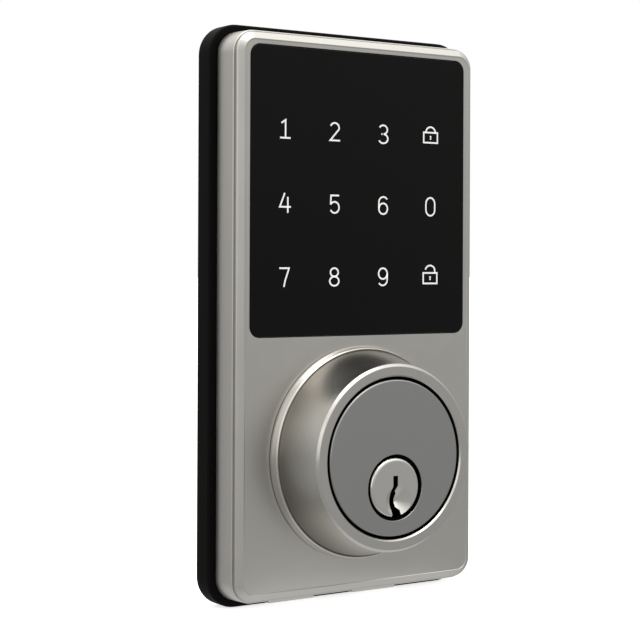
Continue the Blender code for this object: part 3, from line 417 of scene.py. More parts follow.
def add_bump(tree, shader, height, strength, distance):
    """Drives the shader's normal by a height pattern."""
    bump = tree.nodes.new("ShaderNodeBump")
    bump.inputs["Strength"].default_value = strength
    bump.inputs["Distance"].default_value = distance
    tree.links.new(height, bump.inputs["Height"])
    tree.links.new(bump.outputs["Normal"], shader.inputs["Normal"])


def add_tint(tree, shader, mask, first, second):
    """Blends two colours over the surface by a mask."""
    mix = tree.nodes.new("ShaderNodeMix")
    mix.data_type = "RGBA"
    mix.inputs["A"].default_value = (*first, 1)
    mix.inputs["B"].default_value = (*second, 1)
    tree.links.new(mask, mix.inputs["Factor"])
    tree.links.new(mix.outputs["Result"], shader.inputs["Base Color"])


def moulded(name, colour, low, high, grain, depth, specular=0.35):
    """A moulded plastic or rubber with a spark-eroded grain, a little paler where it is rubbed."""
    finish, tree, shader = new_finish(name, colour, low, specular=specular)
    effect = add_effect(tree, grain_effect, Grain=grain, Roughness_low=low, Roughness_high=high)
    tree.links.new(effect.outputs["Roughness"], shader.inputs["Roughness"])
    add_bump(tree, shader, effect.outputs["Height"], 0.5, depth)
    wear = add_effect(tree, wear_effect, Reach=0.7)
    patches = add_maths(tree, "MULTIPLY", effect.outputs["Marks"], 0.35)
    mask = add_maths(tree, "ADD", wear.outputs["Wear"], patches)
    add_tint(tree, shader, mask, colour, tuple(min(1, c * 1.5 + 0.0015) for c in colour))
    return finish


black_abs = moulded("black_abs", BLACK_ABS, 0.46, 0.60, 2600, 0.03 * MM, 0.045)

housing_back = -housing_high.y
housing_rim = -housing_low.y
tray = add_slab("rear_housing_tray", housing_low.x, housing_high.x, housing_low.z, housing_high.z,
                HOUSING_CORNER, housing_back, housing_rim)
pick("FACE", in_plane(housing_rim))
bpy.ops.mesh.inset(thickness=HOUSING_WALL, depth=0)
bpy.ops.mesh.extrude_region_move(
    TRANSFORM_OT_translate={"value": (0, housing_rim - housing_back - HOUSING_FLOOR, 0)})
soften(housing_rim, HOUSING_EDGE, 4)
soften(housing_back, HOUSING_BACK_EDGE, 3)
plug_z = sum(p.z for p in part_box("cam_lid")) / 2
cylinder_x, cylinder_z = middle_of("guard_collar")
collar_place = (cylinder_x, cylinder_z)
carve(tray, add_peg("cylinder_hole", WORKS_HOLE, -MM, CUT_END, collar_place, 96))
carve(tray, add_peg("grommet_hole", GROMMET_HOLE, -MM, CUT_END, middle_of("cable_grommet")))
for number in (1, 2, 3, 4):
    screw_place = middle_of(f"cover_screw_{number}")
    carve(tray, add_peg("screw_hole", SCREW_HOLE, -MM, CUT_END, screw_place, 32))
    carve(tray, add_peg("screw_pocket", SCREW_POCKET, -MM, housing_back + SCREW_POCKET_DEPTH,
                        screw_place, 32))
for lug_x in LUG_CENTRES:
    reach = LUG_WIDTH / 2 + LUG_PLAY
    carve(tray, add_block("lug_notch", (lug_x - reach, -9 * MM, housing_low.z - MM),
                          (lug_x + reach, -LUG_BOTTOM_OUT + LUG_PLAY, housing_low.z + HOUSING_WALL)))
complete(tray, black_abs, "root", "rear_housing", slot="black_plastic")

# ---- Door gasket: a 0.9 mm closed-cell foam frame, glued to the housing, that lies on the door.
# It is die-cut, with a round opening for the works and a hole over each screw.

CELL_FOAM = (0.030, 0.030, 0.031)
FOAM_CORNER = 5.4 * MM
FOAM_EDGE = 0.2 * MM
WORKS_OPENING = 25.6 * MM
FOAM_CUT_END = 3 * MM
foam_low, foam_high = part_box("door_gasket")
foam_finish = moulded("cell_foam", CELL_FOAM, 0.85, 0.98, 1500, 0.12 * MM, 0.2)
foam = add_slab("door_gasket_foam", foam_low.x, foam_high.x, foam_low.z, foam_high.z, FOAM_CORNER,
                -foam_high.y, -foam_low.y)
soften(-foam_low.y, FOAM_EDGE, 3)
soften(-foam_high.y, FOAM_EDGE, 3)
carve(foam, add_peg("works_opening", WORKS_OPENING, -MM, FOAM_CUT_END, collar_place, 96))
for number in (1, 2, 3, 4):
    screw_place = middle_of(f"cover_screw_{number}")
    carve(foam, add_peg("screw_opening", SCREW_POCKET, -MM, FOAM_CUT_END, screw_place, 32))
complete(foam, foam_finish, "root", "door_gasket", slot="black_foam")

# ---- Front escutcheon: die-cast zinc, blasted and plated in satin nickel. A fine groove runs round its
# side under the bevelled front edge. Two lugs at the bottom hook over the housing's lower wall.

SATIN_NICKEL = (0.640, 0.622, 0.585)
FACE_OUT = -cover_low.y
COVER_RIM_OUT = 6.6 * MM
SIDE_TOP_OUT = 12.3 * MM
DRAFT_SIDE, DRAFT_END = 0.55 * MM, 0.1 * MM
COVER_CORNER = 5.0 * MM
GROOVE_DEPTH = 0.85 * MM
GROOVE_WIDTH = 0.56 * MM
BEVEL_FOOT = 0.4 * MM
BEVEL_WIDTH = 1.45 * MM
CREST_WIDTH = 0.16 * MM
FACE_SINK = 0.1 * MM
FOOT_RISE = 0.12 * MM
CREST_EDGE = 0.07 * MM
FOOT_EDGE = 0.3 * MM
SIDE_EDGE = 0.22 * MM
OUTLINE_NEAR = 0.3 * MM
RIM_EDGE = 0.2 * MM
RIM_WALL = 1.8 * MM
CAVITY_DEPTH = 3.5 * MM
COVER_WALL = 2 * MM
# The hollow behind the lower face: its corner, and its two distances out
LOWER_ROOM = (3 * MM, 9 * MM, 11.5 * MM)
LOWER_ROOM_DROP = 0.8 * MM
GLASS_CORNER = 2.3 * MM
POCKET_GAP = 0.16 * MM
POCKET_FLOOR = 11.8 * MM
WINDOW_IN = (3.4 * MM, 5.6 * MM)
WINDOW_CORNER = 2 * MM
COLLAR_HOLE = 19.5 * MM
PAST_FACE = 16 * MM
LUG_EDGE = 0.2 * MM


def plated(name, colour, low, high, grain=3200, depth=0.004 * MM, wear=0.5, lighter=1.2):
    """A plated metal with a fine blasted grain, brighter along its edges."""
    finish, tree, shader = new_finish(name, colour, low, metallic=1.0)
    effect = add_effect(tree, grain_effect, Grain=grain, Roughness_low=low, Roughness_high=high)
    tree.links.new(effect.outputs["Roughness"], shader.inputs["Roughness"])
    add_bump(tree, shader, effect.outputs["Height"], 0.35, depth)
    edge = add_effect(tree, wear_effect, Reach=wear)
    faint = add_maths(tree, "MULTIPLY", effect.outputs["Marks"], 0.12)
    mask = add_maths(tree, "ADD", edge.outputs["Wear"], faint)
    add_tint(tree, shader, mask, colour, tuple(min(1, c * lighter) for c in colour))
    return finish


satin_nickel = plated("satin_nickel_plate", SATIN_NICKEL, 0.30, 0.38)

cover_bottom = housing_low.z + (housing_high.z - cover_high.z)
cover_left, cover_right = cover_low.x, cover_high.x
cover_mid_z = (cover_bottom + cover_high.z) / 2
cover = add_slab("front_escutcheon_casting", cover_left, cover_right, cover_bottom, cover_high.z,
                 COVER_CORNER, COVER_RIM_OUT, SIDE_TOP_OUT, 16)
pick("FACE", in_plane(SIDE_TOP_OUT))
top_half_width = cover_right - DRAFT_SIDE
top_half_height = (cover_high.z - cover_bottom) / 2 - DRAFT_END
draft_z = top_half_height / (top_half_height + DRAFT_END)
bpy.ops.transform.resize(value=(top_half_width / cover_right, 1, draft_z),
                         center_override=(0, -SIDE_TOP_OUT, cover_mid_z))
bpy.ops.mesh.inset(thickness=GROOVE_DEPTH, depth=0)
bpy.ops.mesh.extrude_region_move(TRANSFORM_OT_translate={"value": (0, -GROOVE_WIDTH, 0)})
half_width, half_height = top_half_width - GROOVE_DEPTH, top_half_height - GROOVE_DEPTH
flare = GROOVE_DEPTH - BEVEL_FOOT
bpy.ops.transform.resize(value=(1 + flare / half_width, 1, 1 + flare / half_height),
                         center_override=(0, -SIDE_TOP_OUT, cover_mid_z))
foot_out = SIDE_TOP_OUT + GROOVE_WIDTH + FOOT_RISE
bpy.ops.mesh.extrude_region_move(TRANSFORM_OT_translate={"value": (0, -FOOT_RISE, 0)})
bpy.ops.mesh.inset(thickness=BEVEL_WIDTH, depth=FACE_OUT - foot_out)
bpy.ops.mesh.inset(thickness=CREST_WIDTH, depth=0)
bpy.ops.mesh.inset(thickness=FACE_SINK, depth=-FACE_SINK)
face_plane = FACE_OUT - FACE_SINK
soften(FACE_OUT, CREST_EDGE, 2)
soften(foot_out, FOOT_EDGE, 4)


def on_outline(corner_point):
    """Whether a point lies on the side wall's outline, and not in the groove inside it."""
    past_x = max(abs(corner_point.x) - top_half_width + COVER_CORNER, 0)
    past_z = max(abs(corner_point.z - cover_mid_z) - top_half_height + COVER_CORNER, 0)
    return math.hypot(past_x, past_z) > COVER_CORNER - OUTLINE_NEAR


soften(SIDE_TOP_OUT, SIDE_EDGE, 3, lambda e: all(on_outline(v.co) for v in e.verts))
soften(COVER_RIM_OUT, RIM_EDGE, 3)
pick("FACE", in_plane(COVER_RIM_OUT))
bpy.ops.mesh.inset(thickness=RIM_WALL, depth=0)
bpy.ops.mesh.extrude_region_move(TRANSFORM_OT_translate={"value": (0, -CAVITY_DEPTH, 0)})
glass_low, glass_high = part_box("touch_panel_glass")
lower_room = add_slab("lower_room", cover_left + COVER_WALL, cover_right - COVER_WALL,
                      cover_bottom + COVER_WALL, glass_low.z - LOWER_ROOM_DROP, *LOWER_ROOM, 6)
carve(cover, lower_room)
pocket = add_slab("glass_pocket", glass_low.x - POCKET_GAP, glass_high.x + POCKET_GAP,
                  glass_low.z - POCKET_GAP, glass_high.z + POCKET_GAP, GLASS_CORNER + POCKET_GAP,
                  POCKET_FLOOR, PAST_FACE)
carve(cover, pocket)
window = add_slab("light_window", glass_low.x + WINDOW_IN[0], glass_high.x - WINDOW_IN[0],
                  glass_low.z + WINDOW_IN[1], glass_high.z - WINDOW_IN[1], WINDOW_CORNER, 9 * MM, 13 * MM, 4)
carve(cover, window)
carve(cover, add_peg("collar_hole", COLLAR_HOLE, 5 * MM, PAST_FACE, collar_place, 96))
edit(cover)
soften(face_plane, 0.1 * MM, 2, lambda e: max(abs(v.co.x) for v in e.verts) < glass_high.x + 0.3 * MM
       and min(v.co.z for v in e.verts) > glass_low.z - 0.3 * MM)
for lug_x in LUG_CENTRES:
    lug = add_block("lug", (lug_x - LUG_WIDTH / 2, -COVER_RIM_OUT - 0.3 * MM, cover_low.z),
                    (lug_x + LUG_WIDTH / 2, -LUG_BOTTOM_OUT, cover_bottom + 1.9 * MM))
    edit(lug)
    pick("EDGE", lambda e: True)
    bpy.ops.mesh.bevel(offset=LUG_EDGE, segments=3, affect="EDGES")
    carve(cover, lug, "UNION")
complete(cover, satin_nickel, "root", "front_escutcheon", slot="satin_nickel")

# ---- Cover screws: four zinc-plated pan-head screws with a cross recess, driven from the door side
# through the housing's pockets into the escutcheon.

ZINC = (0.62, 0.63, 0.65)
SCREW_PITCH = 0.5 * MM
SCREW_POINT = 0.6 * MM
SCREW_SHANK = 0.4 * MM
CROSS_DEPTH = 0.45 * MM
CROSS_ARMS = ((0.55, 0.14), (0.14, 0.55))
COVER_SCREW_HEAD_RADIUS, COVER_SCREW_HEAD = 2.8 * MM, 0.7 * MM
COVER_SCREW_RADIUS = 1.2 * MM


def rounded(outline, closed=False, steps=5):
    """Turns (radius, out, rounding) points into plain points, with an arc in place of each corner."""
    smooth = []
    count = len(outline)
    for index, (radius, out, rounding) in enumerate(outline):
        corner = Vector((radius, out))
        if not rounding or (not closed and index in (0, count - 1)):
            smooth.append(corner)
            continue
        before = (Vector(outline[index - 1][:2]) - corner).normalized()
        after = (Vector(outline[(index + 1) % count][:2]) - corner).normalized()
        half = before.angle(after) / 2
        centre = corner + (before + after).normalized() * rounding / math.sin(half)
        start = corner + before * rounding / math.tan(half) - centre
        end = corner + after * rounding / math.tan(half) - centre
        for step in range(steps + 1):
            smooth.append(centre + start.lerp(end, step / steps).normalized() * rounding)
    return smooth


def face_outwards():
    """In edit mode, turns every face's normal outwards."""
    bpy.ops.mesh.select_all(action="SELECT")
    bpy.ops.mesh.normals_make_consistent(inside=False)


def draw_line(name, points):
    """Draws a line by extruding one corner from point to point, and leaves it in edit mode."""
    start_fresh()
    bpy.ops.mesh.primitive_plane_add(size=MM, location=points[0])
    piece = bpy.context.object
    piece.name = name
    bpy.ops.object.transform_apply(location=True, rotation=True, scale=True)
    edit(piece)
    bpy.ops.mesh.select_mode(type="VERT")
    bpy.ops.mesh.select_all(action="SELECT")
    bpy.ops.mesh.merge(type="CENTER")
    for before, after in zip(points, points[1:]):
        bpy.ops.mesh.extrude_region_move(TRANSFORM_OT_translate={"value": Vector(after) - Vector(before)})
    return piece


def turn(name, outline, place, closed=False, sides=96, steps=5):
    """A lathe shape: draws half its section and spins it about its own axis, along the lock's depth."""
    points = [(place[0] + p.x, -p.y, place[1]) for p in rounded(outline, closed, steps)]
    if closed:
        points.append(points[0])
    piece = draw_line(name, points)
    bpy.ops.mesh.select_all(action="SELECT")
    bpy.ops.mesh.spin(steps=sides, angle=2 * math.pi, center=(place[0], 0, place[1]), axis=(0, 1, 0))
    bpy.ops.mesh.select_all(action="SELECT")
    bpy.ops.mesh.remove_doubles(threshold=0.0015 * MM)
    face_outwards()
    bpy.ops.mesh.dissolve_limited(angle_limit=math.radians(0.3))
    return piece


zinc_plate = plated("zinc_plate", ZINC, 0.24, 0.36, 1800, 0.003 * MM)


def cross_head_screw(name, node, tip, head_out, head_radius, radius, back, finish, body, slot):
    """A pan-head screw with a cross recess and turned thread grooves."""
    place = middle_of(node)
    outline = [(0, tip, 0), (radius * 0.6, tip, 0), (radius * 0.9, tip - SCREW_POINT, 0)]
    out = tip - SCREW_POINT
    while out - SCREW_PITCH > head_out + SCREW_SHANK:
        outline += [(radius, out - 0.12 * MM, 0), (radius, out - 0.18 * MM, 0),
                    (radius * 0.78, out - 0.4 * MM, 0)]
        out -= SCREW_PITCH
    outline += [(radius * 0.8, head_out, 0), (head_radius, head_out, 0.05 * MM),
                (head_radius, head_out - 0.25 * MM, 0.12 * MM), (head_radius * 0.75, back, 0.3 * MM),
                (0, back, 0)]
    screw = turn(name, outline, place, sides=32, steps=3)
    for arm_x, arm_z in CROSS_ARMS:
        reach_x, reach_z = arm_x * head_radius, arm_z * head_radius
        arm = add_block("cross_arm", (place[0] - reach_x, -back - CROSS_DEPTH, place[1] - reach_z),
                        (place[0] + reach_x, -back + MM, place[1] + reach_z))
        carve(screw, arm)
    complete(screw, finish, body, node, slot=slot, flat=False)


for number in (1, 2, 3, 4):
    low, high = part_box(f"cover_screw_{number}")
    cross_head_screw(f"cover_screw_pan_{number}", f"cover_screw_{number}", -low.y, -high.y + COVER_SCREW_HEAD,
                     COVER_SCREW_HEAD_RADIUS, COVER_SCREW_RADIUS, -high.y, zinc_plate, "root",
                     "zinc_plated_steel")

# ---- Touch panel: one piece of toughened glass, black behind, flush with the escutcheon's face. The
# twelve legends are printed in white: the digits, a closed padlock and an open one.

BLACK_GLASS = (0.0022, 0.0023, 0.0021)
PRINT_WHITE = (0.86, 0.87, 0.86)
COLUMNS = (-19.75 * MM, -7.08 * MM, 5.8 * MM, 18.8 * MM)
ROW_HEIGHTS = (75.5 * MM, 59.92 * MM, 44.3 * MM)
STROKE = 0.36 * MM
LEGEND_SIZE = 0.95 * MM
PADLOCK_LIFT = 0.25 * MM
GLASS_EDGE = 0.14 * MM
PRINT_THICKNESS = 0.025 * MM
PRINT_GLOW = 0.28
DUST_GREY = (0.012, 0.012, 0.012)
PRINT_BRIGHT, PRINT_DULL = (0.90, 0.91, 0.90), (0.78, 0.79, 0.78)
KEYHOLE_DROP = {"locked": 0.16 * MM, "unlocked": 0.32 * MM}

black_glass, tree, shader = new_finish("black_glass", BLACK_GLASS, 0.06, specular=0.18)
smudges = add_noise(tree, 42, 6.0)
film = add_range(tree, smudges.outputs["Fac"], 0.045, 0.15, 0.38, 0.75)
tree.links.new(film, shader.inputs["Roughness"])
dust = add_noise(tree, 3000, 2.0)
add_tint(tree, shader, add_range(tree, dust.outputs["Fac"], 0.0, 1.0, 0.70, 0.80), BLACK_GLASS, DUST_GREY)

pane = add_slab("touch_panel_pane", glass_low.x, glass_high.x, glass_low.z, glass_high.z, GLASS_CORNER,
                -glass_high.y, -glass_low.y, 12)
soften(-glass_low.y, GLASS_EDGE, 3)
complete(pane, black_glass, "root", "touch_panel_glass", slot="black_glass")


def arc(centre_x, centre_z, radius_x, radius_z, start, end, steps=14):
    """Points on an ellipse, from a start angle to an end angle in degrees."""
    angles = [math.radians(start + (end - start) * step / steps) for step in range(steps + 1)]
    return [(centre_x + radius_x * math.cos(a), centre_z + radius_z * math.sin(a)) for a in angles]


LEGENDS = {
    "1": [[(-0.98, 1.30), (0.12, 1.98), (0.12, -1.80)], [(-1.30, -1.98), (1.45, -1.98)]],
    "2": [arc(-0.02, 0.88, 1.17, 1.10, 160, -18) + [(-1.24, -1.98), (1.42, -1.98)]],
    "3": [arc(-0.05, 1.09, 1.16, 1.02, 152, -90) + [(-0.6, 0.07)], arc(-0.05, -0.99, 1.30, 1.06, 90, -155)],
    "4": [[(-0.02, 2.20), (-1.32, -0.88), (1.60, -0.88)], [(0.78, 1.35), (0.78, -2.20)]],
    "5": [[(1.22, 1.98), (-0.98, 1.98), (-1.06, 0.06)] + arc(0.00, -0.72, 1.22, 1.26, 142, -152, 20)],
    "6": [arc(0.0, -0.74, 1.22, 1.24, 0, 360, 28), arc(0.06, 0.72, 1.28, 1.26, 35, 180) + [(-1.22, -0.74)]],
    "7": [[(-1.36, 1.96), (1.16, 1.96), (0.72, 0.70), (0.18, -0.72), (-0.18, -2.20)]],
    "8": [arc(0, 1.04, 1.06, 0.94, 0, 360, 26), arc(0, -0.96, 1.24, 1.04, 0, 360, 28)],
    "9": [arc(0.0, 0.74, 1.22, 1.24, 0, 360, 28), arc(-0.06, -0.72, 1.28, 1.26, -145, 0) + [(1.22, 0.74)]],
    "0": [arc(0, 0.70, 1.30, 1.40, 0, 180) + arc(0, -0.70, 1.30, 1.40, 180, 360) + [(1.30, 0.70)]],
    "locked": [[(-2.02, 0.78), (2.02, 0.78), (2.02, -1.60), (-2.02, -1.60), (-2.02, 0.78)],
               arc(0, 0.78, 1.38, 1.30, 180, 0)],
    "unlocked": [[(-2.02, 0.62), (2.02, 0.62), (2.02, -1.84), (-2.02, -1.84), (-2.02, 0.62)],
                 arc(0, 1.20, 1.38, 1.16, 170, 0) + [(1.38, 0.62)]],
}
KEY_ROWS = (("1", "2", "3", "locked"), ("4", "5", "6", "0"), ("7", "8", "9", "unlocked"))

legend_ink, tree, shader = new_finish("legend_ink", PRINT_WHITE, 0.45)
ink_grain = add_noise(tree, 2400, 2.0)
add_tint(tree, shader, ink_grain.outputs["Fac"], PRINT_BRIGHT, PRINT_DULL)
shader.inputs["Emission Color"].default_value = (1, 1, 1, 1)
shader.inputs["Emission Strength"].default_value = PRINT_GLOW

print_out = -glass_low.y
corners, lines = [], []
for row, row_z in zip(KEY_ROWS, ROW_HEIGHTS):
    for column, name in enumerate(row):
        centre = (COLUMNS[column], row_z + (PADLOCK_LIFT if "locked" in name else 0))
        for line in LEGENDS[name]:
            first = len(corners)
            corners += [(centre[0] + x * LEGEND_SIZE, -print_out, centre[1] + z * LEGEND_SIZE)
                        for x, z in line]
            lines += [(first + i, first + i + 1) for i in range(len(line) - 1)]
legend_mesh = bpy.data.meshes.new("key_legends")
legend_mesh.from_pydata(corners, lines, [])
legends = bpy.data.objects.new("key_legends", legend_mesh)
bpy.context.scene.collection.objects.link(legends)
edit(legends)
bpy.ops.mesh.select_all(action="SELECT")
bpy.ops.mesh.remove_doubles(threshold=0.004 * MM)
bpy.ops.mesh.select_all(action="SELECT")
bpy.ops.mesh.extrude_region_move(TRANSFORM_OT_translate={"value": (0, -PRINT_THICKNESS, 0)})
apply_modifier(legends, "SOLIDIFY", thickness=STROKE, offset=0, use_even_offset=True)
for row, name in ((0, "locked"), (2, "unlocked")):
    lock_x, lock_z = COLUMNS[3], ROW_HEIGHTS[row] - KEYHOLE_DROP[name]
    eye = add_peg("keyhole_eye", 0.22 * MM, print_out, print_out + PRINT_THICKNESS,
                  (lock_x, lock_z + 0.24 * MM), 20)
    foot = add_block("keyhole_foot", (lock_x - 0.2 * MM, -print_out - PRINT_THICKNESS, lock_z - 0.42 * MM),
                     (lock_x + 0.2 * MM, -print_out, lock_z + 0.1 * MM))
    edit(foot)
    pick("VERT", lambda v: v.co.z > lock_z)
    bpy.ops.transform.resize(value=(0.45, 1, 1), center_override=(lock_x, -print_out, lock_z))
    carve(eye, foot, "UNION")
    take(legends)
    eye.select_set(True)
    bpy.ops.object.join()
edit(legends)
face_outwards()
complete(legends, legend_ink, "root", flat=False)

# ---- Behind the glass: the silicone seal, the frosted light guide, the circuit board with its lights,
# chip, buzzer, socket and screws. All of it is closed in, and keeps its CAD shape.

SILICONE = (0.016, 0.016, 0.016)
MASK_GREEN, MASK_PALE, TRACK_GREEN = (0.02, 0.16, 0.06), (0.03, 0.20, 0.08), (0.06, 0.30, 0.12)
ACRYLIC = (0.9, 0.92, 0.92)
LED_CERAMIC = (0.8, 0.78, 0.68)
EPOXY = (0.02, 0.02, 0.02)
NYLON = (0.78, 0.75, 0.68)
BRASS = (0.80, 0.60, 0.28)

seal_rubber = moulded("seal_silicone", SILICONE, 0.6, 0.75, 2000, 0.02 * MM)
board_green, tree, shader = new_finish("solder_mask", MASK_GREEN, 0.3)
tracks = tree.nodes.new("ShaderNodeTexBrick")
tracks.inputs["Scale"].default_value = 400
board_place = tree.nodes.new("ShaderNodeTexCoord")
tree.links.new(board_place.outputs["Object"], tracks.inputs["Vector"])
tracks.inputs["Color1"].default_value = (*MASK_GREEN, 1)
tracks.inputs["Color2"].default_value = (*MASK_PALE, 1)
tracks.inputs["Mortar"].default_value = (*TRACK_GREEN, 1)
tree.links.new(tracks.outputs["Color"], shader.inputs["Base Color"])
frosted, tree, shader = new_finish("frosted_acrylic", ACRYLIC, 0.35)
shader.inputs["Transmission Weight"].default_value = 0.8
tree.links.new(add_range(tree, add_noise(tree, 1500).outputs["Fac"], 0.3, 0.5), shader.inputs["Roughness"])
ceramic = moulded("led_ceramic", LED_CERAMIC, 0.35, 0.5, 3000, 0.01 * MM)
epoxy = moulded("chip_epoxy", EPOXY, 0.55, 0.7, 4000, 0.01 * MM)
nylon = moulded("socket_nylon", NYLON, 0.4, 0.55, 2500, 0.01 * MM)
brass = plated("turned_brass", BRASS, 0.22, 0.34, 1500, 0.003 * MM)


def repaint(finish, *names):
    """Gives CAD nodes that keep their shape a better finish."""
    for name in names:
        for place in nodes[name].material_slots:
            place.material = finish


repaint(seal_rubber, "panel_seal")
repaint(frosted, "light_guide")
repaint(board_green, "keypad_circuit_board")
repaint(ceramic, *[f"backlight_led_{n}" for n in (1, 2, 3, 4)])
repaint(epoxy, "control_chip")
repaint(brass, "buzzer")
repaint(nylon, "cable_connector")
repaint(zinc_plate, *[f"board_screw_{n}" for n in (1, 2, 3, 4)], "collar_snap_ring")

# ---- Cable grommet: a soft rubber bush in the housing's floor, where the inside unit's cable goes in.

GROMMET_RUBBER = (0.014, 0.014, 0.014)
GROMMET_BORE = 1.8 * MM
GROMMET_NECK = 2.6 * MM
GROMMET_FLANGE = 3.6 * MM
FLANGE_THICKNESS = 0.7 * MM
grommet_low, grommet_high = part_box("cable_grommet")
grommet_rubber = moulded("grommet_rubber", GROMMET_RUBBER, 0.6, 0.78, 1800, 0.02 * MM)
grommet_front, grommet_back = -grommet_low.y, -grommet_high.y
grommet = turn("cable_grommet_bush", [
    (GROMMET_BORE, grommet_front, 0.2 * MM), (GROMMET_FLANGE - 0.1 * MM, grommet_front, 0.3 * MM),
    (GROMMET_FLANGE, grommet_front - FLANGE_THICKNESS, 0.1 * MM),
    (GROMMET_NECK, grommet_front - FLANGE_THICKNESS, 0.1 * MM),
    (GROMMET_NECK, grommet_back + FLANGE_THICKNESS, 0.1 * MM),
    (GROMMET_FLANGE, grommet_back + FLANGE_THICKNESS, 0.1 * MM),
    (GROMMET_FLANGE - 0.2 * MM, grommet_back, 0.35 * MM), (GROMMET_BORE, grommet_back, 0.25 * MM)],
    middle_of("cable_grommet"), closed=True, sides=48, steps=3)
complete(grommet, grommet_rubber, "root", "cable_grommet", slot="black_rubber", flat=False)

# ---- Guard collar: turned steel, plated in the same satin nickel. It spins freely round the cylinder,
# so that pliers can't turn it. A rounded lip lies on the escutcheon and a flared neck rises from it.

collar_low, collar_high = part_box("guard_collar")
LIP_RADIUS = (collar_high.x - collar_low.x) / 2
COLLAR_FRONT_OUT = -collar_low.y
LIP_SEAT_OUT = 14.05 * MM
LIP_TOP_OUT = 16.1 * MM
NECK_FOOT = 22.3 * MM
NECK_FOOT_OUT = 15.75 * MM
NECK_TOP = 19.85 * MM
COLLAR_BORE = 17.2 * MM
SPIGOT_RADIUS = 19.2 * MM
SPIGOT_END = -collar_high.y
SNAP_GROOVE = (11.5 * MM, 10.1 * MM)
SNAP_GROOVE_RADIUS = SPIGOT_RADIUS - 0.9 * MM
RING_EDGE = 0.6 * MM
NECK_STEPS = 14
NECK_CURVE = 1.25
# Colour of the painted shade down in the collar's neck
NECK_PAINTED_SHADE = (0.27, 0.253, 0.225)

neck = []
for step in range(NECK_STEPS + 1):
    part = step / NECK_STEPS
    neck.append((NECK_TOP + (NECK_FOOT - NECK_TOP) * part**NECK_CURVE,
                 COLLAR_FRONT_OUT - RING_EDGE - part * (COLLAR_FRONT_OUT - RING_EDGE - NECK_FOOT_OUT), 0))
collar = turn("guard_collar_turning", [
    (COLLAR_BORE, COLLAR_FRONT_OUT - 0.35 * MM, 0), (COLLAR_BORE + 0.3 * MM, COLLAR_FRONT_OUT, 0.1 * MM),
    (NECK_TOP - 0.5 * MM, COLLAR_FRONT_OUT, 0.28 * MM), *neck,
    (NECK_FOOT + 0.1 * MM, LIP_TOP_OUT, 0.12 * MM),
    (LIP_RADIUS - 0.45 * MM, LIP_TOP_OUT - 0.35 * MM, 0.6 * MM),
    (LIP_RADIUS, LIP_SEAT_OUT + 0.6 * MM, 0.5 * MM), (LIP_RADIUS, LIP_SEAT_OUT, 0),
    (SPIGOT_RADIUS, LIP_SEAT_OUT, 0), (SPIGOT_RADIUS, SNAP_GROOVE[0], 0),
    (SNAP_GROOVE_RADIUS, SNAP_GROOVE[0], 0), (SNAP_GROOVE_RADIUS, SNAP_GROOVE[1], 0),
    (SPIGOT_RADIUS, SNAP_GROOVE[1], 0),
    (SPIGOT_RADIUS, SPIGOT_END, 0.2 * MM),
    (COLLAR_BORE, SPIGOT_END, 0.2 * MM)], collar_place, closed=True, sides=160)
collar_nickel, tree, shader = new_finish("collar_nickel_plate", SATIN_NICKEL, 0.26, metallic=1.0)
effect = add_effect(tree, grain_effect, Grain=3600, Roughness_low=0.25, Roughness_high=0.275)
tree.links.new(effect.outputs["Roughness"], shader.inputs["Roughness"])
add_bump(tree, shader, effect.outputs["Height"], 0.12, 0.001 * MM)
# Painted shade: the neck is painted darker towards its foot, just above the lip, than on the lip and the
# front ring
collar_depth = tree.nodes.new("ShaderNodeSeparateXYZ")
tree.links.new(tree.nodes.new("ShaderNodeTexCoord").outputs["Object"], collar_depth.inputs[0])
above_lip = add_range(tree, collar_depth.outputs["Y"], 1.0, 0.0, -LIP_TOP_OUT - 0.1 * MM,
                      -LIP_TOP_OUT + 0.25 * MM)
towards_foot = add_range(tree, collar_depth.outputs["Y"], 0.0, 1.0, -COLLAR_FRONT_OUT + 0.8 * MM, -17 * MM)
add_tint(tree, shader, add_maths(tree, "MULTIPLY", above_lip, towards_foot), SATIN_NICKEL, NECK_PAINTED_SHADE)
complete(collar, collar_nickel, "collar", "guard_collar", slot="satin_nickel", angle=24)

# ---- Cylinder: a die-cast body, faced and plated in a cooler satin chrome, fixed by its two ears. Only its
# round face shows, standing just inside the collar, with the plug's hole below its middle.

SATIN_CHROME = (0.440, 0.446, 0.430)
cylinder_low, cylinder_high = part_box("cylinder_body")
CYLINDER_RADIUS = 16.6 * MM
FACE_OF_CYLINDER = -cylinder_low.y
BACK_OF_CYLINDER = -cylinder_high.y
BORE_RADIUS = 6.65 * MM
RIM_RADIUS = 7.0 * MM
EAR_BACK, EAR_FRONT = 3.5 * MM, 6.3 * MM
EAR_RING = CYLINDER_RADIUS + 0.8 * MM
EAR_HALF_HEIGHT = 6.5 * MM
EAR_CORNER = 5 * MM
EAR_INSET = 0.02 * MM
STUD_HOLE = 2.3 * MM
LID_PLAY = 0.2 * MM
BORE_EDGE = 0.12 * MM
# Colour of the painted shade inside the bore and the keyway
PAINTED_HOLE_SHADE = (0.010, 0.009, 0.008)


def paint_shade_inside(tree, shader, colour, front, back):
    """Paints shade onto the metal between two distances out, where it lies inside a hole."""
    place = tree.nodes.new("ShaderNodeTexCoord")
    depth = tree.nodes.new("ShaderNodeSeparateXYZ")
    tree.links.new(place.outputs["Object"], depth.inputs[0])
    behind = add_range(tree, depth.outputs["Y"], 0.0, 1.0, -front, -front + 0.25 * MM)
    before = add_range(tree, depth.outputs["Y"], 1.0, 0.0, -back, -back + 0.5 * MM)
    mask = add_maths(tree, "MULTIPLY", behind, before)
    add_tint(tree, shader, mask, colour, PAINTED_HOLE_SHADE)


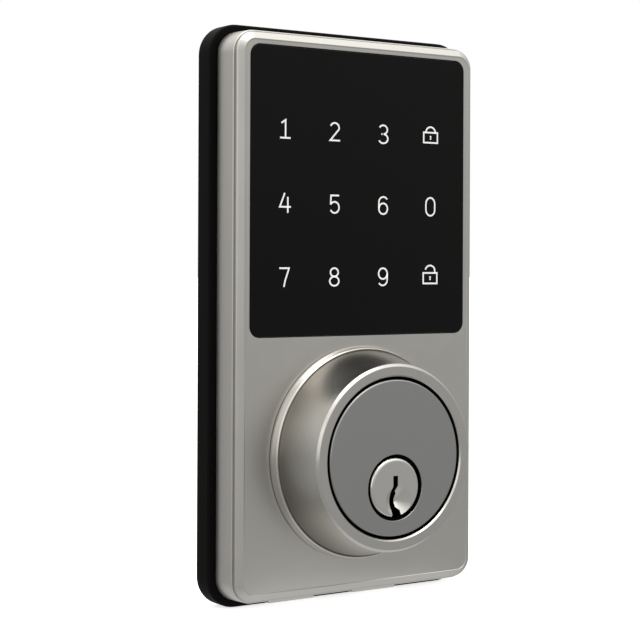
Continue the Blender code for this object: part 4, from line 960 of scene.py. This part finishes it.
turned_chrome, tree, shader = new_finish("satin_chrome_face", SATIN_CHROME, 0.3, metallic=1.0)
effect = add_effect(tree, grain_effect, Grain=3600, Roughness_low=0.28, Roughness_high=0.31)
tree.links.new(effect.outputs["Roughness"], shader.inputs["Roughness"])
add_bump(tree, shader, effect.outputs["Height"], 0.12, 0.001 * MM)
# Painted shade inside the bore, from just behind the cylinder's face
paint_shade_inside(tree, shader, SATIN_CHROME, FACE_OF_CYLINDER - 0.35 * MM, 8 * MM)
cylinder = turn("cylinder_face_and_body", [
    (0, FACE_OF_CYLINDER, 0), (CYLINDER_RADIUS, FACE_OF_CYLINDER, 0.45 * MM),
    (CYLINDER_RADIUS, EAR_FRONT, 0), (EAR_RING, EAR_FRONT, 0.1 * MM),
    (EAR_RING, EAR_BACK, 0.1 * MM), (CYLINDER_RADIUS, EAR_BACK, 0),
    (CYLINDER_RADIUS, BACK_OF_CYLINDER, 0.35 * MM), (0, BACK_OF_CYLINDER, 0)], collar_place, sides=144)
ears = add_slab("ears", cylinder_low.x, cylinder_high.x, cylinder_z - EAR_HALF_HEIGHT,
                cylinder_z + EAR_HALF_HEIGHT, EAR_CORNER, EAR_BACK + EAR_INSET, EAR_FRONT - EAR_INSET)
carve(cylinder, ears, "UNION")
for side in ("left", "right"):
    carve(cylinder, add_peg("stud_hole", STUD_HOLE, 0, 10 * MM, middle_of(f"mounting_post_{side}"), 32))
carve(cylinder, add_peg("plug_bore", BORE_RADIUS, -3 * MM, 30 * MM, (0, plug_z), 80))
carve(cylinder, add_peg("plug_rim", RIM_RADIUS, FACE_OF_CYLINDER - 1.0 * MM, 30 * MM, (0, plug_z), 80))
chamber_low, chamber_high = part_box("pin_chamber_lid")
play = Vector((LID_PLAY, LID_PLAY, LID_PLAY))
carve(cylinder, add_block("lid_slot", chamber_low - play,
                          (chamber_high.x + LID_PLAY, chamber_high.y + LID_PLAY, chamber_high.z + 5 * MM)))
edit(cylinder)
soften(FACE_OF_CYLINDER, BORE_EDGE, 3,
       lambda e: all(math.hypot(v.co.x, v.co.z - plug_z) < RIM_RADIUS + 0.1 * MM for v in e.verts))
complete(cylinder, turned_chrome, "root", "cylinder_body", slot="satin_chrome", angle=28)
repaint(brass, "pin_chamber_lid")

# ---- Key plug: bright-polished brass, nickel-plated. It turns in the cylinder's bore. Its face has a
# rolled rim, the warded keyway, and a ground cone that leads the key in.

BRIGHT_NICKEL = (0.76, 0.74, 0.70)
plug_low, plug_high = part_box("key_plug")
PLUG_RADIUS = 6.35 * MM
PLUG_FACE = -plug_low.y
PLUG_BACK = -plug_high.y
KEYWAY = (
    (-0.6, 2.5), (-0.6, 0.4), (-1.07, -0.8), (-1.07, -3.6), (-0.8, -4.8), (-0.8, -8.0),
    (1.55, -8.0), (1.55, -4.9), (0.68, -4.2), (0.68, -1.3), (0.23, -0.8), (0.6, 0.35), (0.6, 2.5),
)
DIMPLE_PLACE = (0.8 * MM, -2.9 * MM)
DIMPLE_RADIUS = 3.15 * MM
DIMPLE_DEPTH = 1.7 * MM
# The cone stands this much past the face, so that its wall meets the face at about the dimple's radius
DIMPLE_OVERRUN = 1.5
PLUG_EDGE = 0.85 * MM

bright_nickel, tree, shader = new_finish("bright_nickel_face", BRIGHT_NICKEL, 0.16, metallic=1.0)
effect = add_effect(tree, grain_effect, Grain=900, Roughness_low=0.13, Roughness_high=0.2)
tree.links.new(effect.outputs["Roughness"], shader.inputs["Roughness"])
add_bump(tree, shader, effect.outputs["Height"], 0.3, 0.0015 * MM)
# Painted shade inside the keyway, behind the cone's floor
paint_shade_inside(tree, shader, BRIGHT_NICKEL, PLUG_FACE - DIMPLE_DEPTH, 4 * MM)
plug = turn("key_plug_turning", [
    (0, PLUG_FACE, 0), (PLUG_RADIUS, PLUG_FACE, PLUG_EDGE), (PLUG_RADIUS, PLUG_BACK, 0.2 * MM),
    (0, PLUG_BACK, 0)], (0, plug_z), sides=96, steps=8)
keyway = draw_line("keyway", [(x * MM, -PLUG_FACE - MM, plug_z + z * MM) for x, z in KEYWAY])
bpy.ops.mesh.select_all(action="SELECT")
bpy.ops.mesh.edge_face_add()
bpy.ops.mesh.extrude_region_move(TRANSFORM_OT_translate={"value": (0, PLUG_FACE - PLUG_BACK - 2 * MM, 0)})
face_outwards()
carve(plug, keyway)
start_fresh()
bpy.ops.mesh.primitive_cone_add(
    vertices=96, radius1=DIMPLE_RADIUS * DIMPLE_OVERRUN, radius2=0.35 * MM,
    depth=DIMPLE_DEPTH * DIMPLE_OVERRUN,
    location=(DIMPLE_PLACE[0], -PLUG_FACE + DIMPLE_DEPTH * 0.25, plug_z + DIMPLE_PLACE[1]),
    rotation=(math.radians(-90), 0, 0))
dimple = bpy.context.object
bpy.ops.object.transform_apply(location=True, rotation=True, scale=True)
carve(plug, dimple)
complete(plug, bright_nickel, "plug", "key_plug", slot="bright_nickel", angle=30)

# ---- Pins and springs: brass key pins, nickel-silver driver pins, and five coils of hard-drawn wire,
# each held in its chamber between the lid and its driver pin. Each coil is made where its CAD spring is, and
# stays there.

SPRING_GREY = (0.50, 0.50, 0.50)
repaint(brass, *[f"key_pin_{n}" for n in (1, 2, 3, 4, 5)])
spring_steel = plated("spring_steel", SPRING_GREY, 0.25, 0.35, 1200)
repaint(spring_steel, *[f"driver_pin_{n}" for n in (1, 2, 3, 4, 5)])
WIRE_RADIUS = 0.13 * MM
WIRE_SIDES = 8
COILS = 6
COIL_STEPS = 20
for number in (1, 2, 3, 4, 5):
    spring_low, spring_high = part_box(f"pin_spring_{number}")
    spring_middle = (spring_low + spring_high) / 2
    coil_radius = (spring_high.x - spring_low.x) / 2 - WIRE_RADIUS
    coil_rise = spring_high.z - spring_low.z - 2 * WIRE_RADIUS
    start_fresh()
    bpy.ops.mesh.primitive_circle_add(vertices=WIRE_SIDES, radius=WIRE_RADIUS, location=(coil_radius, 0, 0),
                                      rotation=(math.radians(90), 0, 0))
    spring = bpy.context.object
    spring.name = f"pin_spring_coil_{number}"
    bpy.ops.object.transform_apply(location=True, rotation=True, scale=True)
    spring.location = (spring_middle.x, spring_middle.y, spring_low.z + WIRE_RADIUS)
    apply_modifier(spring, "SCREW", angle=math.radians(360), screw_offset=coil_rise / COILS, iterations=COILS,
                   steps=COIL_STEPS, render_steps=COIL_STEPS, axis="Z", use_smooth_shade=True)
    take(spring)
    bpy.ops.object.transform_apply(location=True, rotation=True, scale=True)
    bpy.ops.object.mode_set(mode="EDIT")
    bpy.ops.mesh.select_all(action="DESELECT")
    bpy.ops.mesh.select_mode(type="EDGE")
    bpy.ops.mesh.select_non_manifold()
    bpy.ops.mesh.edge_face_add()
    face_outwards()
    bpy.ops.object.mode_set(mode="OBJECT")
    spring.data.materials.append(spring_steel)
    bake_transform(spring)
    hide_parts(f"pin_spring_{number}")

# ---- Cam, cam lid and tailpiece: the cast cam is screwed to the plug's back end. Its bow-tie window
# turns the flat steel tailpiece, which works the bolt, after a quarter turn of free play.

CAM_GREY = (0.52, 0.52, 0.51)
LID_HOLE = 3.6 * MM
CAM_SCREW_HOLE = 1.0 * MM
CAM_SCREW_HEAD_RADIUS, CAM_SCREW_HEAD = 1.4 * MM, 0.6 * MM
CAM_SCREW_RADIUS = 0.7 * MM
TAIL_STEEL = (0.60, 0.61, 0.62)
TAIL_WIDTH = 6.2 * MM
TAIL_TIP = 4.0 * MM
TAIL_TIP_TAPER = 0.55
TAIL_HEAD = 3.0 * MM
TAIL_EDGE = 0.09 * MM
SCORE_PLACES = (9 * MM, 16 * MM)
SCORE_DEPTH, SCORE_HALF_WIDTH = 0.15 * MM, 0.2 * MM

cam_chrome = plated("cam_chrome", CAM_GREY, 0.3, 0.42, 1400, 0.008 * MM)
cam_low, cam_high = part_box("drive_cam")
lid_low, lid_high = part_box("cam_lid")
tail_low, tail_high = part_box("tailpiece")
cam_radius = (cam_high.x - cam_low.x) / 2
repaint(cam_chrome, "drive_cam")
lid = turn("cam_lid_washer", [
    (LID_HOLE, -lid_low.y, 0.1 * MM), (cam_radius, -lid_low.y, 0.2 * MM),
    (cam_radius, -lid_high.y, 0.25 * MM),
    (LID_HOLE, -lid_high.y, 0.25 * MM)], (0, plug_z), closed=True, sides=96, steps=3)
for number in (1, 2):
    carve(lid, add_peg("lid_hole", CAM_SCREW_HOLE, -9 * MM, 3 * MM, middle_of(f"cam_screw_{number}"), 24))
complete(lid, cam_chrome, "plug", "cam_lid", slot="satin_chrome")
for number in (1, 2):
    low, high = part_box(f"cam_screw_{number}")
    cross_head_screw(f"cam_screw_pan_{number}", f"cam_screw_{number}", -low.y, -high.y + CAM_SCREW_HEAD,
                     CAM_SCREW_HEAD_RADIUS, CAM_SCREW_RADIUS, -high.y, zinc_plate, "plug",
                     "zinc_plated_steel")

tail_steel = plated("stamped_steel", TAIL_STEEL, 0.26, 0.4, 1000, 0.005 * MM)
tail = add_block("tailpiece_bar", (tail_low.x, tail_low.y, -TAIL_WIDTH / 2),
                 (tail_high.x, tail_high.y - TAIL_TIP, TAIL_WIDTH / 2))
edit(tail)
pick("FACE", in_plane(TAIL_TIP - tail_high.y))
bpy.ops.mesh.extrude_region_move(TRANSFORM_OT_translate={"value": (0, TAIL_TIP, 0)})
bpy.ops.transform.resize(value=(1, 1, TAIL_TIP_TAPER), center_override=(0, tail_high.y, 0))
take(tail)
carve(tail, add_block("tail_head", (tail_low.x, tail_low.y, tail_low.z),
                      (tail_high.x, tail_low.y + TAIL_HEAD, tail_high.z)), "UNION")
# Scored across both sides, so that the end can be snapped off for a thinner door
for score_y in [tail_high.y - place for place in SCORE_PLACES]:
    for side_x in (tail_low.x, tail_high.x):
        score = add_block("score_line", (side_x - SCORE_DEPTH, score_y - SCORE_HALF_WIDTH, -TAIL_WIDTH),
                          (side_x + SCORE_DEPTH, score_y + SCORE_HALF_WIDTH, TAIL_WIDTH))
        carve(tail, score)
apply_modifier(tail, "BEVEL", width=TAIL_EDGE, segments=2, limit_method="ANGLE", angle_limit=math.radians(35))
complete(tail, tail_steel, "tailpiece", "tailpiece", slot="zinc_plated_steel")

# ---- Mounting posts: turned steel pillars that take the two long bolts from the inside unit. Each has a
# stud through the cylinder's ear, with a hexagon nut on it.

POST_THREAD = 5.2 * MM
POST_HOLE = 7.4 * MM
POST_RADIUS = 4.0 * MM
POST_FOOT_OUT = 0.9 * MM
STUD_RADIUS = 2.0 * MM
THREAD_ROOT, THREAD_CREST = 2.5 * MM, 2.1 * MM
THREAD_PITCH = 0.8 * MM

for side in ("left", "right"):
    low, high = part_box(f"mounting_post_{side}")
    tip, end = -low.y, -high.y
    thread = []
    out = end + 0.6 * MM
    while out < end + POST_THREAD:
        thread += [(THREAD_CREST, out, 0), (THREAD_CREST, out + 0.1 * MM, 0),
                   (THREAD_ROOT, out + 0.4 * MM, 0)]
        out += THREAD_PITCH
    post = turn(f"mounting_post_pillar_{side}", [
        (0, tip, 0), (STUD_RADIUS - 0.4 * MM, tip, 0), (STUD_RADIUS, tip - 0.4 * MM, 0),
        (STUD_RADIUS, POST_FOOT_OUT, 0), (POST_RADIUS, POST_FOOT_OUT, 0.15 * MM),
        (POST_RADIUS, end, 0.5 * MM),
        (THREAD_ROOT, end, 0.1 * MM), *thread, (THREAD_CREST, end + POST_HOLE - MM, 0),
        (0, end + POST_HOLE, 0)], middle_of(f"mounting_post_{side}"), sides=56, steps=3)
    complete(post, zinc_plate, "root", f"mounting_post_{side}", slot="zinc_plated_steel", angle=20)
repaint(zinc_plate, "post_nut_left", "post_nut_right")
